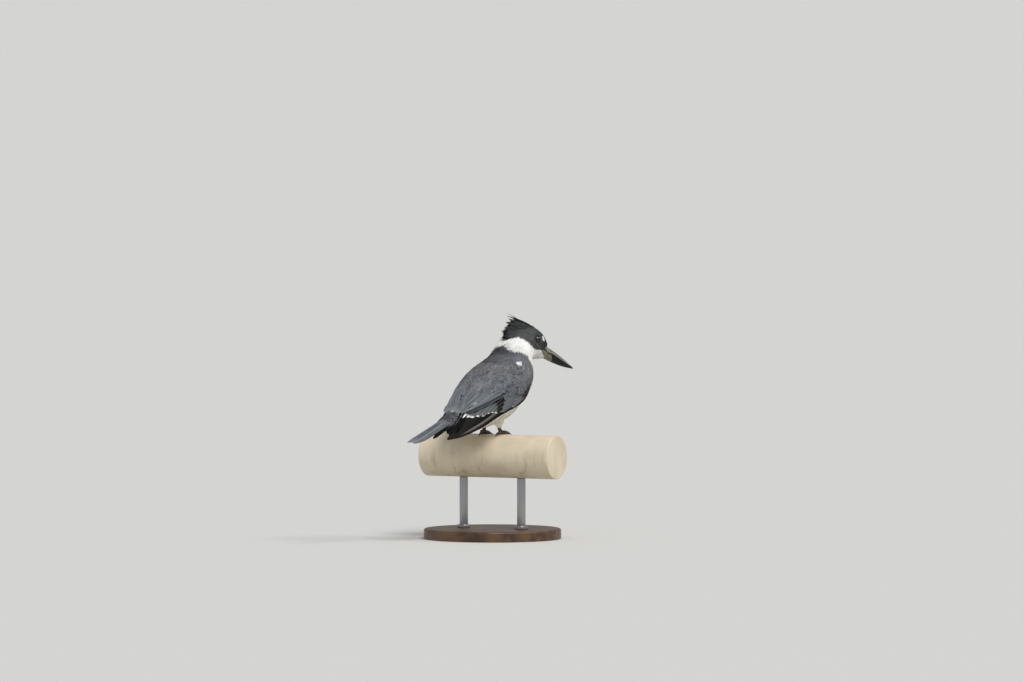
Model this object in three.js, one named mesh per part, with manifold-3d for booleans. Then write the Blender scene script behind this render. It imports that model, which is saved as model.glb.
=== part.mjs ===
// Belted kingfisher, life size, perched on a short length of round rail over a plain display stand.
// Millimetres, +Z up. The bird faces -Y, its right side is towards -X, and the origin is the centre
// of the stand's underside.
import * as THREE from 'three';
import * as BufferGeometryUtils from 'three/addons/utils/BufferGeometryUtils.js';
import Module from 'manifold-3d';

const wasm = await Module();
wasm.setup();

// ---------------------------------------------------------------- driving dimensions
const GAP = 0.3;                 // clear space between neighbouring pieces

const BASE_RADIUS = 80;          // display stand: round flat base
const BASE_THICKNESS = 12;
const BASE_EDGE = 2;             // small bevel round the base
const ROD_RADIUS = 5;
const ROD_SPACING = 76;          // between the two rods, along the perch
const PERCH_RADIUS = 25.4;       // two-inch tube
const PERCH_LENGTH = 170;
const PERCH_EDGE = 1.2;          // rounding at the perch's capped ends
const PERCH_TURN = THREE.MathUtils.degToRad(17);   // the rail crosses under the bird a little askew
const PERCH_TOP = 122;           // height of the rail's top line, where the feet stand

const BODY_STEPS = 30;           // rings along the body
const BODY_SIDES = 24;           // points round each ring
const BODY_FULLNESS = 0.9;       // under 1 makes a slice fuller than an ellipse

const WING_STEPS = 18;
const WING_ACROSS = 6;           // points from the leading edge to the inner edge, on each face
const WING_STEP = 0.02;          // step along the wing over which its run is measured
const WING_THICKNESS = [3.2, 4.6, 5.0, 4.6, 3.8, 2.8, 1.9, 1.1];   // from the bend to the tip
const WING_BULGE = [3.5, 9.5, 14.5, 15.5, 12.0, 7.5, 3.0, 0.4];    // how far it arches outwards
const WING_ARCH_LEAN = 0.85;     // under 1 puts the arch's top nearer the leading edge
const WING_EDGE = 0.35;          // share of its thickness left at either edge

const TAIL_ROOT = { f: -44, z: 32.5 };
const TAIL_TIP = { f: -134, z: -6.0 };
const TAIL_STEPS = 12;
const TAIL_ACROSS = 7;
const TAIL_HALF_ROOT = 10;
const TAIL_HALF_TIP = 12.8;
const TAIL_ROUNDING = 20;        // length over which the tail's end rounds off
const TAIL_THICKNESS = 3.0;
const TAIL_DROOP = 2.4;          // how far the outer feathers lie below the middle ones
const TAIL_END = 0.25;           // share of its width left at the very end
const TAIL_THINNING = 0.45;      // share of its thickness lost from root to tip
const TAIL_EDGE_THINNING = 0.75; // over 0 thins it towards both side edges

const CREST_STEPS = 14;
const CREST_SIDES = 12;
const CREST_NARROWING = 0.45;    // how much thinner the ridge is at its outer edge
const LOCK_BOW = 0.8;            // how far a lock's middle stands above its straight line
const LOCK_SPREAD = 1.6;         // how much farther its tip leans aside than its middle
const LOCK_MIDDLE = 0.7;         // thickness at its middle, as a share of that at its root
const LOCK_TIP = 0.4;
const LOCK_SQUASH = 0.9;

const BILL_ROOT = { f: 80.5, top: 101.5, bottom: 85.5 };   // hidden inside the face
const BILL_FACE = { f: 88.0, top: 99.2, bottom: 84.0 };    // where it leaves the feathers
const BILL_TIP = { f: 133.0, z: 72.3 };
const BILL_HALF_WIDTH = 6.6;
const BILL_ARCH = 1.6;           // how far each edge bows out between base and tip
const BILL_TAPER = 1.1;          // over 1 keeps the bill stout near its base
const BILL_TIP_HALF = 0.4;
const BILL_STEPS = 12;
const BILL_SIDES = 16;
const MOUTH_SHARE = 0.42;        // the lower bill's share of the depth

const EYE_RADIUS = 6.0;
const EYE = { f: 59.1, r: 13.8, z: 108.2 };
const EYE_LOOK = { f: 0.12, r: 0.95, z: 0.29 };   // which way the eye faces
const EYE_OPENING = [4.5, 5.0, 7.6];   // radii of the opening in the coat, from inside outwards
const EYE_OPENING_AT = [1.0, 4.5, 7.5];   // how far from the eye's middle each of them lies

const FOOT_SIDE = 12.5;          // each foot's distance from the middle
const TOE_RADII = [2.1, 2.0, 1.9, 1.8, 1.5];
const CLAW_RADII = [1.25, 1.0, 0.35];
const CLAW_ANGLE = 0.2;          // how far each claw runs on round the rail, in radians
const CLAW_START = 0.94;         // where each claw leaves its toe, as a share of the toe's reach
const CLAW_LIFTS = [1.9, 2.3, 0.7];   // above the rail at its root, middle and point
const SHANK_RADII = [2.5, 2.0, 2.2];
const SHANK_MIDDLE = { f: -1.0, z: 6.0 };
const SHANK_TOP = { f: -1.5, z: 11 };   // inside the feathered thigh
const THIGH_RADII = [9.5, 6.6, 3.2];
const THIGH_PATH = [
  { f: -5, in: 0.5, z: 24 },     // in is how much nearer the middle than the foot
  { f: -2.5, in: 0, z: 14 },
  { f: -1.2, in: 0, z: 8.2 },
];

// ---------------------------------------------------------------- frame of the bird
// A place on the bird is told by how far forward it is, how far to the bird's right, and how far
// above the rail's top line.
const at = (forward, right, up) => new THREE.Vector3(-right, -forward, PERCH_TOP + up);

// ---------------------------------------------------------------- helpers for solids
// Smooth interpolation of numbers: Catmull-Rom through evenly numbered stations.
function spline(values, t) {
  const last = values.length - 1;
  const place = Math.min(Math.max(t, 0), 1) * last;
  const i = Math.min(Math.floor(place), last - 1);
  const f = place - i;
  const [b, c] = [values[i], values[i + 1]];
  const a = i > 0 ? values[i - 1] : 2 * b - c;
  const d = i + 2 <= last ? values[i + 2] : 2 * c - b;
  return b + 0.5 * f * (c - a + f * (2 * a - 5 * b + 4 * c - d + f * (3 * (b - c) + d - a)));
}

// The named field of a list of stations, read at t from 0 to 1.
const along = (stations, field, t) => spline(stations.map((station) => station[field]), t);

function signedVolume(points, triangles) {
  let sum = 0;
  for (const [a, b, c] of triangles) sum += points[a].dot(points[b].clone().cross(points[c]));
  return sum / 6;
}

// A closed body through rings of equal length, with a fan of triangles on each end.
function loft(rings) {
  const sides = rings[0].length;
  const points = rings.flat();
  const triangles = [];
  for (let i = 0; i + 1 < rings.length; i++) {
    for (let j = 0; j < sides; j++) {
      const a = i * sides + j;
      const b = i * sides + ((j + 1) % sides);
      triangles.push([a, b, a + sides], [b, b + sides, a + sides]);
    }
  }
  const ends = [[0, 1], [(rings.length - 1) * sides, -1]];
  for (const [start, way] of ends) {
    const ring = points.slice(start, start + sides);
    const middle = ring.reduce((sum, p) => sum.add(p), new THREE.Vector3()).divideScalar(sides);
    const centre = points.push(middle) - 1;
    for (let j = 0; j < sides; j++) {
      const [a, b] = [start + j, start + ((j + 1) % sides)];
      triangles.push(way > 0 ? [b, a, centre] : [a, b, centre]);
    }
  }
  const facesOut = signedVolume(points, triangles) > 0;
  const index = triangles.flatMap(([a, b, c]) => (facesOut ? [a, b, c] : [a, c, b]));
  const geometry = new THREE.BufferGeometry();
  geometry.setAttribute('position', new THREE.Float32BufferAttribute(points.flatMap((p) => p.toArray()), 3));
  geometry.setIndex(index);
  return geometry;
}

// three.js geometry to a manifold solid and back.
function solid(geometry) {
  const plain = geometry.clone();
  plain.deleteAttribute('normal');
  plain.deleteAttribute('uv');
  const merged = BufferGeometryUtils.mergeVertices(plain, 1e-4);
  return new wasm.Manifold(new wasm.Mesh({
    numProp: 3,
    vertProperties: new Float32Array(merged.attributes.position.array),
    triVerts: new Uint32Array(merged.index.array),
  }));
}

function geometryOf(body) {
  const mesh = body.getMesh();
  const geometry = new THREE.BufferGeometry();
  geometry.setAttribute('position', new THREE.BufferAttribute(new Float32Array(mesh.vertProperties), 3));
  geometry.setIndex(new THREE.BufferAttribute(new Uint32Array(mesh.triVerts), 1));
  return geometry;
}

const joined = (bodies) => bodies.reduce((all, body) => all.add(body));

// A tapering round limb along a smooth path: radii run from the first to the last point.
function limb(path, radii, steps, sides, squash = 1) {
  const curve = new THREE.CatmullRomCurve3(path, false, 'centripetal');
  const rings = [];
  const frames = curve.computeFrenetFrames(steps, false);
  for (let i = 0; i <= steps; i++) {
    const t = i / steps;
    const centre = curve.getPoint(t);
    const radius = spline(radii, t);
    const ring = [];
    for (let j = 0; j < sides; j++) {
      const angle = (2 * Math.PI * j) / sides;
      ring.push(centre.clone()
        .addScaledVector(frames.normals[i], radius * Math.cos(angle))
        .addScaledVector(frames.binormals[i], radius * squash * Math.sin(angle)));
    }
    rings.push(ring);
  }
  return loft(rings);
}

// ---------------------------------------------------------------- the body as one surface
// Each station is one slice: its highest point on the back line, its lowest on the breast and belly
// line (forward and up, in mm from the rail's top), its half width, and how far its widest level
// sits above (+) or below (-) the middle.
const bodyStations = [
  { name: 'bill base', backF: 87.5, backZ: 99.5, bellyF: 85.5, bellyZ: 87.0, half: 6.2, high: 0.0 },
  { name: 'lores', backF: 83.0, backZ: 108.5, bellyF: 77.0, bellyZ: 85.5, half: 10.5, high: -0.08 },
  { name: 'eye', backF: 73.0, backZ: 118.5, bellyF: 67.5, bellyZ: 85.5, half: 14.8, high: -0.1 },
  { name: 'ear', backF: 57.5, backZ: 124.0, bellyF: 60.0, bellyZ: 85.0, half: 18.5, high: -0.12 },
  { name: 'nape', backF: 40.0, backZ: 121.5, bellyF: 53.5, bellyZ: 83.5, half: 21.5, high: -0.1 },
  { name: 'collar', backF: 23.5, backZ: 111.5, bellyF: 50.5, bellyZ: 78.5, half: 24.8, high: -0.02 },
  { name: 'neck', backF: 16.5, backZ: 98.5, bellyF: 52.5, bellyZ: 70.0, half: 26.4, high: 0.0 },
  { name: 'mantle', backF: 1.5, backZ: 87.5, bellyF: 52.2, bellyZ: 58.5, half: 31.2, high: 0.06 },
  { name: 'shoulder', backF: -15.0, backZ: 79.0, bellyF: 46.0, bellyZ: 45.0, half: 33.4, high: 0.08 },
  { name: 'breast', backF: -30.0, backZ: 68.0, bellyF: 33.5, bellyZ: 32.0, half: 33.0, high: 0.08 },
  { name: 'back', backF: -41.5, backZ: 53.0, bellyF: 19.0, bellyZ: 20.5, half: 31.5, high: 0.06 },
  { name: 'belly', backF: -51.5, backZ: 40.0, bellyF: 0.0, bellyZ: 13.0, half: 28.0, high: 0.04 },
  { name: 'rump', backF: -62.0, backZ: 31.0, bellyF: -22.0, bellyZ: 7.5, half: 23.0, high: -0.04 },
  { name: 'vent', backF: -74.0, backZ: 24.0, bellyF: -45.0, bellyZ: 3.5, half: 17.0, high: -0.08 },
  { name: 'under tail', backF: -85.0, backZ: 17.5, bellyF: -66.0, bellyZ: 3.5, half: 10.5, high: 0.0 },
  { name: 'tail root', backF: -93.0, backZ: 11.5, bellyF: -84.0, bellyZ: 5.0, half: 5.5, high: 0.0 },
];

// One slice of the body: an oval between its back point and its belly point, a little fuller than
// an ellipse, widened by grow all round.
function bodyRing(t, grow) {
  const back = [along(bodyStations, 'backF', t), along(bodyStations, 'backZ', t)];
  const belly = [along(bodyStations, 'bellyF', t), along(bodyStations, 'bellyZ', t)];
  const half = along(bodyStations, 'half', t) + grow;
  const high = along(bodyStations, 'high', t);
  const depth = Math.hypot(back[0] - belly[0], back[1] - belly[1]) / 2;
  const stretch = (depth + grow) / depth;
  const ring = [];
  for (let j = 0; j < BODY_SIDES; j++) {
    const angle = (2 * Math.PI * j) / BODY_SIDES;
    const level = stretch * Math.cos(angle);
    const reach = half * Math.sign(Math.sin(angle)) * Math.abs(Math.sin(angle)) ** BODY_FULLNESS;
    const forward = (back[0] + belly[0]) / 2 + (level * (back[0] - belly[0])) / 2;
    const up = (back[1] + belly[1]) / 2 + (level * (back[1] - belly[1])) / 2;
    ring.push(at(forward, reach * (1 + high * Math.cos(angle)), up));
  }
  return ring;
}

function bodySurface(grow) {
  const rings = [];
  for (let i = 0; i <= BODY_STEPS; i++) rings.push(bodyRing(i / BODY_STEPS, grow));
  return solid(loft(rings));
}

// ---------------------------------------------------------------- folded wings
// Two edges carry each wing: the leading edge, which runs from the bend of the wing down the side
// of the breast and back to the tip, and the inner edge along the back to the ends of the inner
// quills. The wing bulges outwards between them.
const leadingEdge = [
  { f: 34, r: 27.0, z: 75 },
  { f: 30.5, r: 31.0, z: 58 },
  { f: 21, r: 32.5, z: 42.5 },
  { f: 5, r: 31.5, z: 32 },
  { f: -18, r: 30.0, z: 23 },
  { f: -42, r: 26.5, z: 10.5 },
  { f: -65, r: 20.5, z: 1.0 },
  { f: -87, r: 12.5, z: -3.5 },
];
const innerEdge = [
  { f: 27, r: 22.0, z: 83 },
  { f: 9, r: 19.0, z: 83 },
  { f: -10, r: 15.0, z: 79 },
  { f: -27, r: 11.5, z: 70 },
  { f: -41, r: 10.0, z: 55.5 },
  { f: -52, r: 10.0, z: 41.5 },
  { f: -62, r: 13.0, z: 28 },
  { f: -86, r: 11.5, z: -1.5 },
];
const wingEdge = (edge, s) => new THREE.Vector3(
  along(edge, 'f', s),
  along(edge, 'r', s),
  along(edge, 'z', s),
);

// Middle surface of the wing: straight from edge to edge at s along it, pushed out by an arch that
// is highest a little nearer the leading edge.
function wingMiddle(s, t) {
  const low = wingEdge(leadingEdge, s);
  const high = wingEdge(innerEdge, s);
  const across = high.clone().sub(low);
  const [before, after] = [Math.max(s - WING_STEP, 0), Math.min(s + WING_STEP, 1)];
  const run = wingEdge(leadingEdge, after).sub(wingEdge(leadingEdge, before))
    .add(wingEdge(innerEdge, after)).sub(wingEdge(innerEdge, before));
  const out = across.clone().cross(run).normalize();
  if (out.y < 0) out.negate();
  const arch = Math.sin(Math.PI * t ** WING_ARCH_LEAN);
  return low.addScaledVector(across, t).addScaledVector(out, spline(WING_BULGE, s) * arch);
}

function wingRing(s, grow) {
  const step = 1e-3;
  const outer = [];
  const inner = [];
  const width = wingMiddle(s, 0).distanceTo(wingMiddle(s, 1));
  for (let i = 0; i < WING_ACROSS; i++) {
    const t = i / (WING_ACROSS - 1);
    const middle = wingMiddle(s, t);
    const acrossWay = wingMiddle(s, Math.min(t + step, 1)).sub(wingMiddle(s, Math.max(t - step, 0)));
    const alongWay = wingMiddle(Math.min(s + step, 1), t).sub(wingMiddle(Math.max(s - step, 0), t));
    const out = acrossWay.clone().cross(alongWay).normalize();
    if (out.y < 0) out.negate();
    const edge = WING_EDGE + (1 - WING_EDGE) * Math.sqrt(Math.sin(Math.PI * t));
    const thick = (spline(WING_THICKNESS, s) * edge) / 2 + grow;
    const spread = (2 * t - 1) * grow;
    middle.addScaledVector(acrossWay.normalize(), width > 1 ? spread : 0);
    outer.push(middle.clone().addScaledVector(out, thick));
    inner.push(middle.clone().addScaledVector(out, -thick));
  }
  return [...outer, ...inner.reverse()];
}

// side is 1 for the bird's right wing and -1 for its left.
function wing(side, grow) {
  const rings = [];
  for (let i = 0; i <= WING_STEPS; i++) {
    rings.push(wingRing(i / WING_STEPS, grow).map((p) => at(p.x, side * p.y, p.z)));
  }
  return solid(loft(rings));
}

// ---------------------------------------------------------------- tail
function tailRing(t, grow) {
  const lengthAlong = Math.hypot(TAIL_TIP.f - TAIL_ROOT.f, TAIL_TIP.z - TAIL_ROOT.z);
  const fromTip = (1 - t) * lengthAlong;
  const round = fromTip < TAIL_ROUNDING ? Math.sqrt(1 - (1 - fromTip / TAIL_ROUNDING) ** 2) : 1;
  const half = (TAIL_HALF_ROOT + (TAIL_HALF_TIP - TAIL_HALF_ROOT) * t) * Math.max(round, TAIL_END) + grow;
  const f = TAIL_ROOT.f + (TAIL_TIP.f - TAIL_ROOT.f) * t;
  const z = TAIL_ROOT.z + (TAIL_TIP.z - TAIL_ROOT.z) * t;
  const thick = (TAIL_THICKNESS * (1 - TAIL_THINNING * t)) / 2 + grow;
  const top = [];
  const bottom = [];
  for (let i = 0; i < TAIL_ACROSS; i++) {
    const across = (2 * i) / (TAIL_ACROSS - 1) - 1;
    const droop = TAIL_DROOP * (across * round) ** 2;
    const edge = Math.sqrt(1 - TAIL_EDGE_THINNING * across ** 2);
    top.push(at(f, half * across, z - droop + thick * edge));
    bottom.push(at(f, half * across, z - droop - thick * edge));
  }
  return [...top, ...bottom.reverse()];
}

function tail(grow) {
  const rings = [];
  for (let i = 0; i <= TAIL_STEPS; i++) rings.push(tailRing(i / TAIL_STEPS, grow));
  return solid(loft(rings));
}

// ---------------------------------------------------------------- crest
// The crest stands on the crown as a narrow ridge of long feathers, with ragged tips behind.
const crestStations = [
  { outF: 80, outZ: 111, inF: 77, inZ: 107, half: 3.5 },
  { outF: 72, outZ: 119.5, inF: 68, inZ: 112, half: 7.0 },
  { outF: 62, outZ: 126.0, inF: 59, inZ: 114, half: 9.5 },
  { outF: 49, outZ: 130.3, inF: 50, inZ: 114, half: 11.0 },
  { outF: 35, outZ: 131.8, inF: 42, inZ: 112, half: 11.5 },
  { outF: 25.5, outZ: 127.0, inF: 36, inZ: 109, half: 11.5 },
  { outF: 20, outZ: 117.5, inF: 32, inZ: 105, half: 11.0 },
  { outF: 19.5, outZ: 108.5, inF: 30, inZ: 100, half: 9.0 },
];
// Ragged locks: where each leaves the ridge, where its tip is, its side lean and its thickness.
const crestLocks = [
  { rootF: 54, rootZ: 124, tipF: 33, tipZ: 134.0, lean: 2, thick: 5.5 },
  { rootF: 45, rootZ: 122, tipF: 22, tipZ: 139.5, lean: 0, thick: 6.0 },
  { rootF: 42, rootZ: 120, tipF: 23.5, tipZ: 132.5, lean: -3, thick: 6.0 },
  { rootF: 38, rootZ: 117, tipF: 16.5, tipZ: 125.5, lean: 2, thick: 6.0 },
  { rootF: 35, rootZ: 113, tipF: 18, tipZ: 118.0, lean: -3, thick: 6.0 },
  { rootF: 34, rootZ: 109, tipF: 17, tipZ: 109.5, lean: 3, thick: 5.5 },
];

function crest() {
  const rings = [];
  for (let i = 0; i <= CREST_STEPS; i++) {
    const t = i / CREST_STEPS;
    const out = [along(crestStations, 'outF', t), along(crestStations, 'outZ', t)];
    const inner = [along(crestStations, 'inF', t), along(crestStations, 'inZ', t)];
    const half = along(crestStations, 'half', t);
    const ring = [];
    for (let j = 0; j < CREST_SIDES; j++) {
      const angle = (2 * Math.PI * j) / CREST_SIDES;
      const level = 0.5 + 0.5 * Math.cos(angle);
      const narrow = 1 - CREST_NARROWING * level ** 2;
      ring.push(at(
        inner[0] + (out[0] - inner[0]) * level,
        half * narrow * Math.sin(angle),
        inner[1] + (out[1] - inner[1]) * level,
      ));
    }
    rings.push(ring);
  }
  const ridge = solid(loft(rings));
  const locks = crestLocks.map((lock) => {
    const path = [
      at(lock.rootF, 0, lock.rootZ),
      at((lock.rootF + lock.tipF) / 2, lock.lean, (lock.rootZ + lock.tipZ) / 2 + LOCK_BOW),
      at(lock.tipF, lock.lean * LOCK_SPREAD, lock.tipZ),
    ];
    const radii = [lock.thick, lock.thick * LOCK_MIDDLE, LOCK_TIP];
    return solid(limb(path, radii, 4, 6, LOCK_SQUASH));
  });
  return joined([ridge, ...locks]);
}

// ---------------------------------------------------------------- bill
// The bill's upper and lower outline at t: below 0 inside the face, 0 at the feathers, 1 at the tip.
// Both edges run nearly straight from the face to the tip, each bowed a little outwards.
function billEdges(t) {
  if (t < 0) {
    return [
      BILL_FACE.top + t * (BILL_FACE.top - BILL_ROOT.top),
      BILL_FACE.bottom + t * (BILL_FACE.bottom - BILL_ROOT.bottom),
    ];
  }
  const bow = BILL_ARCH * Math.sin(Math.PI * t);
  return [
    BILL_FACE.top + (BILL_TIP.z + BILL_TIP_HALF - BILL_FACE.top) * t + bow,
    BILL_FACE.bottom + (BILL_TIP.z - BILL_TIP_HALF - BILL_FACE.bottom) * t - bow,
  ];
}

// Each half is a narrow arch over the flat plane of the mouth, the lower half upside down.
function billPart(upper, grow) {
  const rings = [];
  const way = upper ? 1 : -1;
  const rootShare = (BILL_FACE.f - BILL_ROOT.f + grow) / (BILL_TIP.f - BILL_FACE.f);
  for (let i = 0; i <= BILL_STEPS; i++) {
    const t = -rootShare + ((1 + rootShare) * i) / BILL_STEPS;
    const f = BILL_FACE.f + (BILL_TIP.f - BILL_FACE.f) * t;
    const [top, bottom] = billEdges(t);
    const mouth = bottom + (top - bottom) * MOUTH_SHARE + way * (GAP / 2 - grow);
    const outer = (upper ? top : bottom) + way * grow;
    const taper = 1 - Math.max(t, 0) ** BILL_TAPER;
    const half = Math.max(BILL_HALF_WIDTH * taper, BILL_TIP_HALF) + grow;
    const ring = [];
    for (let j = 0; j <= BILL_SIDES / 2; j++) {
      const angle = (2 * Math.PI * j) / BILL_SIDES;
      const rise = Math.sin(angle) ** BODY_FULLNESS;
      ring.push(at(f, half * Math.cos(angle), mouth + (outer - mouth) * rise));
    }
    rings.push(ring);
  }
  return solid(loft(rings));
}

// ---------------------------------------------------------------- eyes
function eyeball(side, grow) {
  const ball = new THREE.SphereGeometry(EYE_RADIUS + grow, 14, 8);
  const centre = at(EYE.f, side * EYE.r, EYE.z);
  ball.translate(centre.x, centre.y, centre.z);
  return solid(ball);
}

// The coat parts round each eye in a shallow cup that widens outwards.
function eyeOpening(side) {
  const path = EYE_OPENING_AT.map((out) => at(
    EYE.f + out * EYE_LOOK.f,
    side * (EYE.r + out * EYE_LOOK.r),
    EYE.z + out * EYE_LOOK.z,
  ));
  return solid(limb(path, EYE_OPENING, 3, 12));
}

// ---------------------------------------------------------------- legs and feet
// Distance-keeping over the rail: a point is lifted along the rail's radius to a given clearance.
const perchAxis = new THREE.Vector3(Math.cos(PERCH_TURN), Math.sin(PERCH_TURN), 0);
const perchCentre = new THREE.Vector3(0, 0, PERCH_TOP - PERCH_RADIUS);

// A point on the rail's surface: angle round it from the top (forward positive), distance along it
// to the bird's right, and lift above the surface.
function onPerch(angle, right, lift) {
  const radius = PERCH_RADIUS + lift;
  const forwardWay = new THREE.Vector3(Math.sin(PERCH_TURN), -Math.cos(PERCH_TURN), 0);
  return perchCentre.clone()
    .addScaledVector(perchAxis, -right)
    .addScaledVector(forwardWay, radius * Math.sin(angle))
    .add(new THREE.Vector3(0, 0, radius * Math.cos(angle)));
}

// Toes: angle at the tip of the flesh round the rail, sideways spread at the tip, start offset.
const toes = [
  { reach: 0.46, spread: -4.6, start: -2.2 },
  { reach: 0.56, spread: 0.4, start: 0 },
  { reach: 0.51, spread: 4.4, start: 2.2 },
  { reach: -0.3, spread: -1.5, start: -0.5 },
];

function foot(side, grow) {
  const widened = (radii) => radii.map((radius) => radius + grow);
  const bodies = toes.map((toe) => {
    const path = TOE_RADII.map((radius, k) => {
      const share = k / (TOE_RADII.length - 1);
      const sideways = FOOT_SIDE + toe.start + (toe.spread - toe.start) * share;
      return onPerch(toe.reach * share, side * sideways, GAP + radius);
    });
    const clawEnd = toe.reach + Math.sign(toe.reach) * CLAW_ANGLE;
    const sideways = side * (FOOT_SIDE + toe.spread);
    const claw = solid(limb([
      onPerch(toe.reach * CLAW_START, sideways, GAP + CLAW_LIFTS[0]),
      onPerch((toe.reach + clawEnd) / 2, sideways, GAP + CLAW_LIFTS[1]),
      onPerch(clawEnd, sideways, GAP + CLAW_LIFTS[2]),
    ], widened(CLAW_RADII), 3, 6));
    return solid(limb(path, widened(TOE_RADII), 4, 6)).add(claw);
  });
  const shank = solid(limb([
    onPerch(0, side * FOOT_SIDE, GAP + SHANK_RADII[0]),
    at(SHANK_MIDDLE.f, side * FOOT_SIDE, SHANK_MIDDLE.z),
    at(SHANK_TOP.f, side * FOOT_SIDE, SHANK_TOP.z),
  ], widened(SHANK_RADII), 4, 8));
  return joined([...bodies, shank]);
}

// Feathered thigh: a short tapering tuft from the belly down over the top of the shank.
function thigh(side) {
  const path = THIGH_PATH.map((point) => at(point.f, side * (FOOT_SIDE - point.in), point.z));
  return solid(limb(path, THIGH_RADII, 6, 12));
}

// ---------------------------------------------------------------- perch and stand
// A short cut of rail with plain closed ends, as a turned profile laid on its side.
function perchSolid() {
  const half = PERCH_LENGTH / 2;
  const profile = new THREE.Shape();
  profile.moveTo(0, -half);
  profile.lineTo(PERCH_RADIUS - PERCH_EDGE, -half);
  profile.absarc(PERCH_RADIUS - PERCH_EDGE, -half + PERCH_EDGE, PERCH_EDGE, -Math.PI / 2, 0);
  profile.lineTo(PERCH_RADIUS, half - PERCH_EDGE);
  profile.absarc(PERCH_RADIUS - PERCH_EDGE, half - PERCH_EDGE, PERCH_EDGE, 0, Math.PI / 2);
  profile.lineTo(0, half);
  return new THREE.LatheGeometry(profile.getPoints(1), 40);
}

function baseSolid() {
  const profile = [
    new THREE.Vector2(0, 0),
    new THREE.Vector2(BASE_RADIUS, 0),
    new THREE.Vector2(BASE_RADIUS, BASE_THICKNESS - BASE_EDGE),
    new THREE.Vector2(BASE_RADIUS - BASE_EDGE, BASE_THICKNESS),
    new THREE.Vector2(0, BASE_THICKNESS),
  ];
  return new THREE.LatheGeometry(profile, 48);
}

// ---------------------------------------------------------------- cutting the body into its parts
// Everything ahead of, or behind, a plane through a point, tipped about the side-to-side line.
function halfSpace(origin, pitch, ahead) {
  const size = 400;              // larger than the bird
  const box = new THREE.BoxGeometry(size, size, size);
  box.translate(0, ahead ? -size / 2 : size / 2, 0);
  box.rotateX(pitch);
  box.translate(origin.x, origin.y, origin.z);
  return solid(box);
}

// The cut behind the head and the cut at the foot of the neck, as points and pitches.
const HEAD_CUT = { f: 46, z: 100, pitch: THREE.MathUtils.degToRad(24) };
const NECK_CUT = { f: 37, z: 84, pitch: THREE.MathUtils.degToRad(50) };

function parted(body, cut, ahead) {
  const shift = ahead ? GAP / 2 : -GAP / 2;
  const origin = at(
    cut.f + shift * Math.cos(cut.pitch),
    0,
    cut.z + shift * Math.sin(cut.pitch),
  );
  return body.intersect(halfSpace(origin, -cut.pitch, ahead));
}

// ---------------------------------------------------------------- colours
function finish(color, roughness, metalness = 0) {
  return new THREE.MeshStandardMaterial({ color, roughness, metalness });
}
const slate = finish(0x6d7076, 0.85);
const charcoal = finish(0x3f4246, 0.85);
const white = finish(0xe9e7e0, 0.9);
const blackHorn = finish(0x1d1c20, 0.35);
const eyeDark = finish(0x1a0f0c, 0.08);
const scaly = finish(0x3a322c, 0.6);
const creamPaint = finish(0xd2c5ab, 0.45);
const standWood = finish(0x4a3728, 0.5);
const steel = finish(0x8b8d90, 0.35, 0.9);

const group = new THREE.Group();

function add(name, geometry, material) {
  const mesh = new THREE.Mesh(geometry, material);
  mesh.name = name;
  group.add(mesh);
  return mesh;
}

// Whole body, then everything that sits in or on it takes its own room away.
const body = bodySurface(0);
const roomForWings = wing(1, GAP).add(wing(-1, GAP));
const roomForEyes = joined([eyeball(1, GAP), eyeball(-1, GAP), eyeOpening(1), eyeOpening(-1)]);
const roomForBill = billPart(true, GAP).add(billPart(false, GAP));

const flesh = body.subtract(roomForWings).subtract(tail(GAP));
const ahead = parted(flesh, HEAD_CUT, true);
const behindHead = parted(flesh, HEAD_CUT, false);

add('head', geometryOf(ahead.subtract(roomForEyes).subtract(roomForBill)), charcoal);
add('neck', geometryOf(parted(behindHead, NECK_CUT, true)), white);
add('trunk', geometryOf(parted(behindHead, NECK_CUT, false)), slate);
add('crest', geometryOf(crest().subtract(bodySurface(GAP))), charcoal);
add('bill_upper', geometryOf(billPart(true, 0)), blackHorn);
add('bill_lower', geometryOf(billPart(false, 0)), blackHorn);
add('wing_right', geometryOf(wing(1, 0)), slate);
add('wing_left', geometryOf(wing(-1, 0)), slate);
add('tail', geometryOf(tail(0)), slate);

for (const [label, side] of [['right', 1], ['left', -1]]) {
  add(`eye_${label}`, geometryOf(eyeball(side, 0)), eyeDark);
  add(`foot_${label}`, geometryOf(foot(side, 0)), scaly);
  add(`thigh_${label}`, geometryOf(thigh(side).subtract(bodySurface(GAP)).subtract(foot(side, GAP))), white);
}

const perch = add('perch', perchSolid(), creamPaint);
perch.rotation.set(0, 0, PERCH_TURN - Math.PI / 2);
perch.position.set(0, 0, PERCH_TOP - PERCH_RADIUS);

const base = add('stand_base', baseSolid(), standWood);
base.rotation.set(Math.PI / 2, 0, 0);

const rodHeight = PERCH_TOP - 2 * PERCH_RADIUS - BASE_THICKNESS - 2 * GAP;
for (const [label, side] of [['right', -1], ['left', 1]]) {
  const round = new THREE.CylinderGeometry(ROD_RADIUS, ROD_RADIUS, rodHeight, 24);
  const rod = add(`stand_rod_${label}`, round, steel);
  rod.rotation.set(Math.PI / 2, 0, 0);
  rod.position.copy(perchAxis).multiplyScalar((side * ROD_SPACING) / 2);
  rod.position.z = BASE_THICKNESS + GAP + rodHeight / 2;
}

export default group;
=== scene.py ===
# %% [markdown]
# # A perched belted kingfisher, life size
# The bird is a museum-style model on a short length of painted rail. The solids packed from the
# CAD part fix its size and the place of every piece, and the measures below are the same ones;
# this lesson dresses them. A bird is built here as it is in life: one skin, a coat of small
# overlapping vanes that follow the lie of the feathers, and the large quills of wing and tail laid
# one by one. Each piece is a formula on a grid, worked out with numpy as whole arrays, because
# thousands of feathers are then no more work than one.

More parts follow.
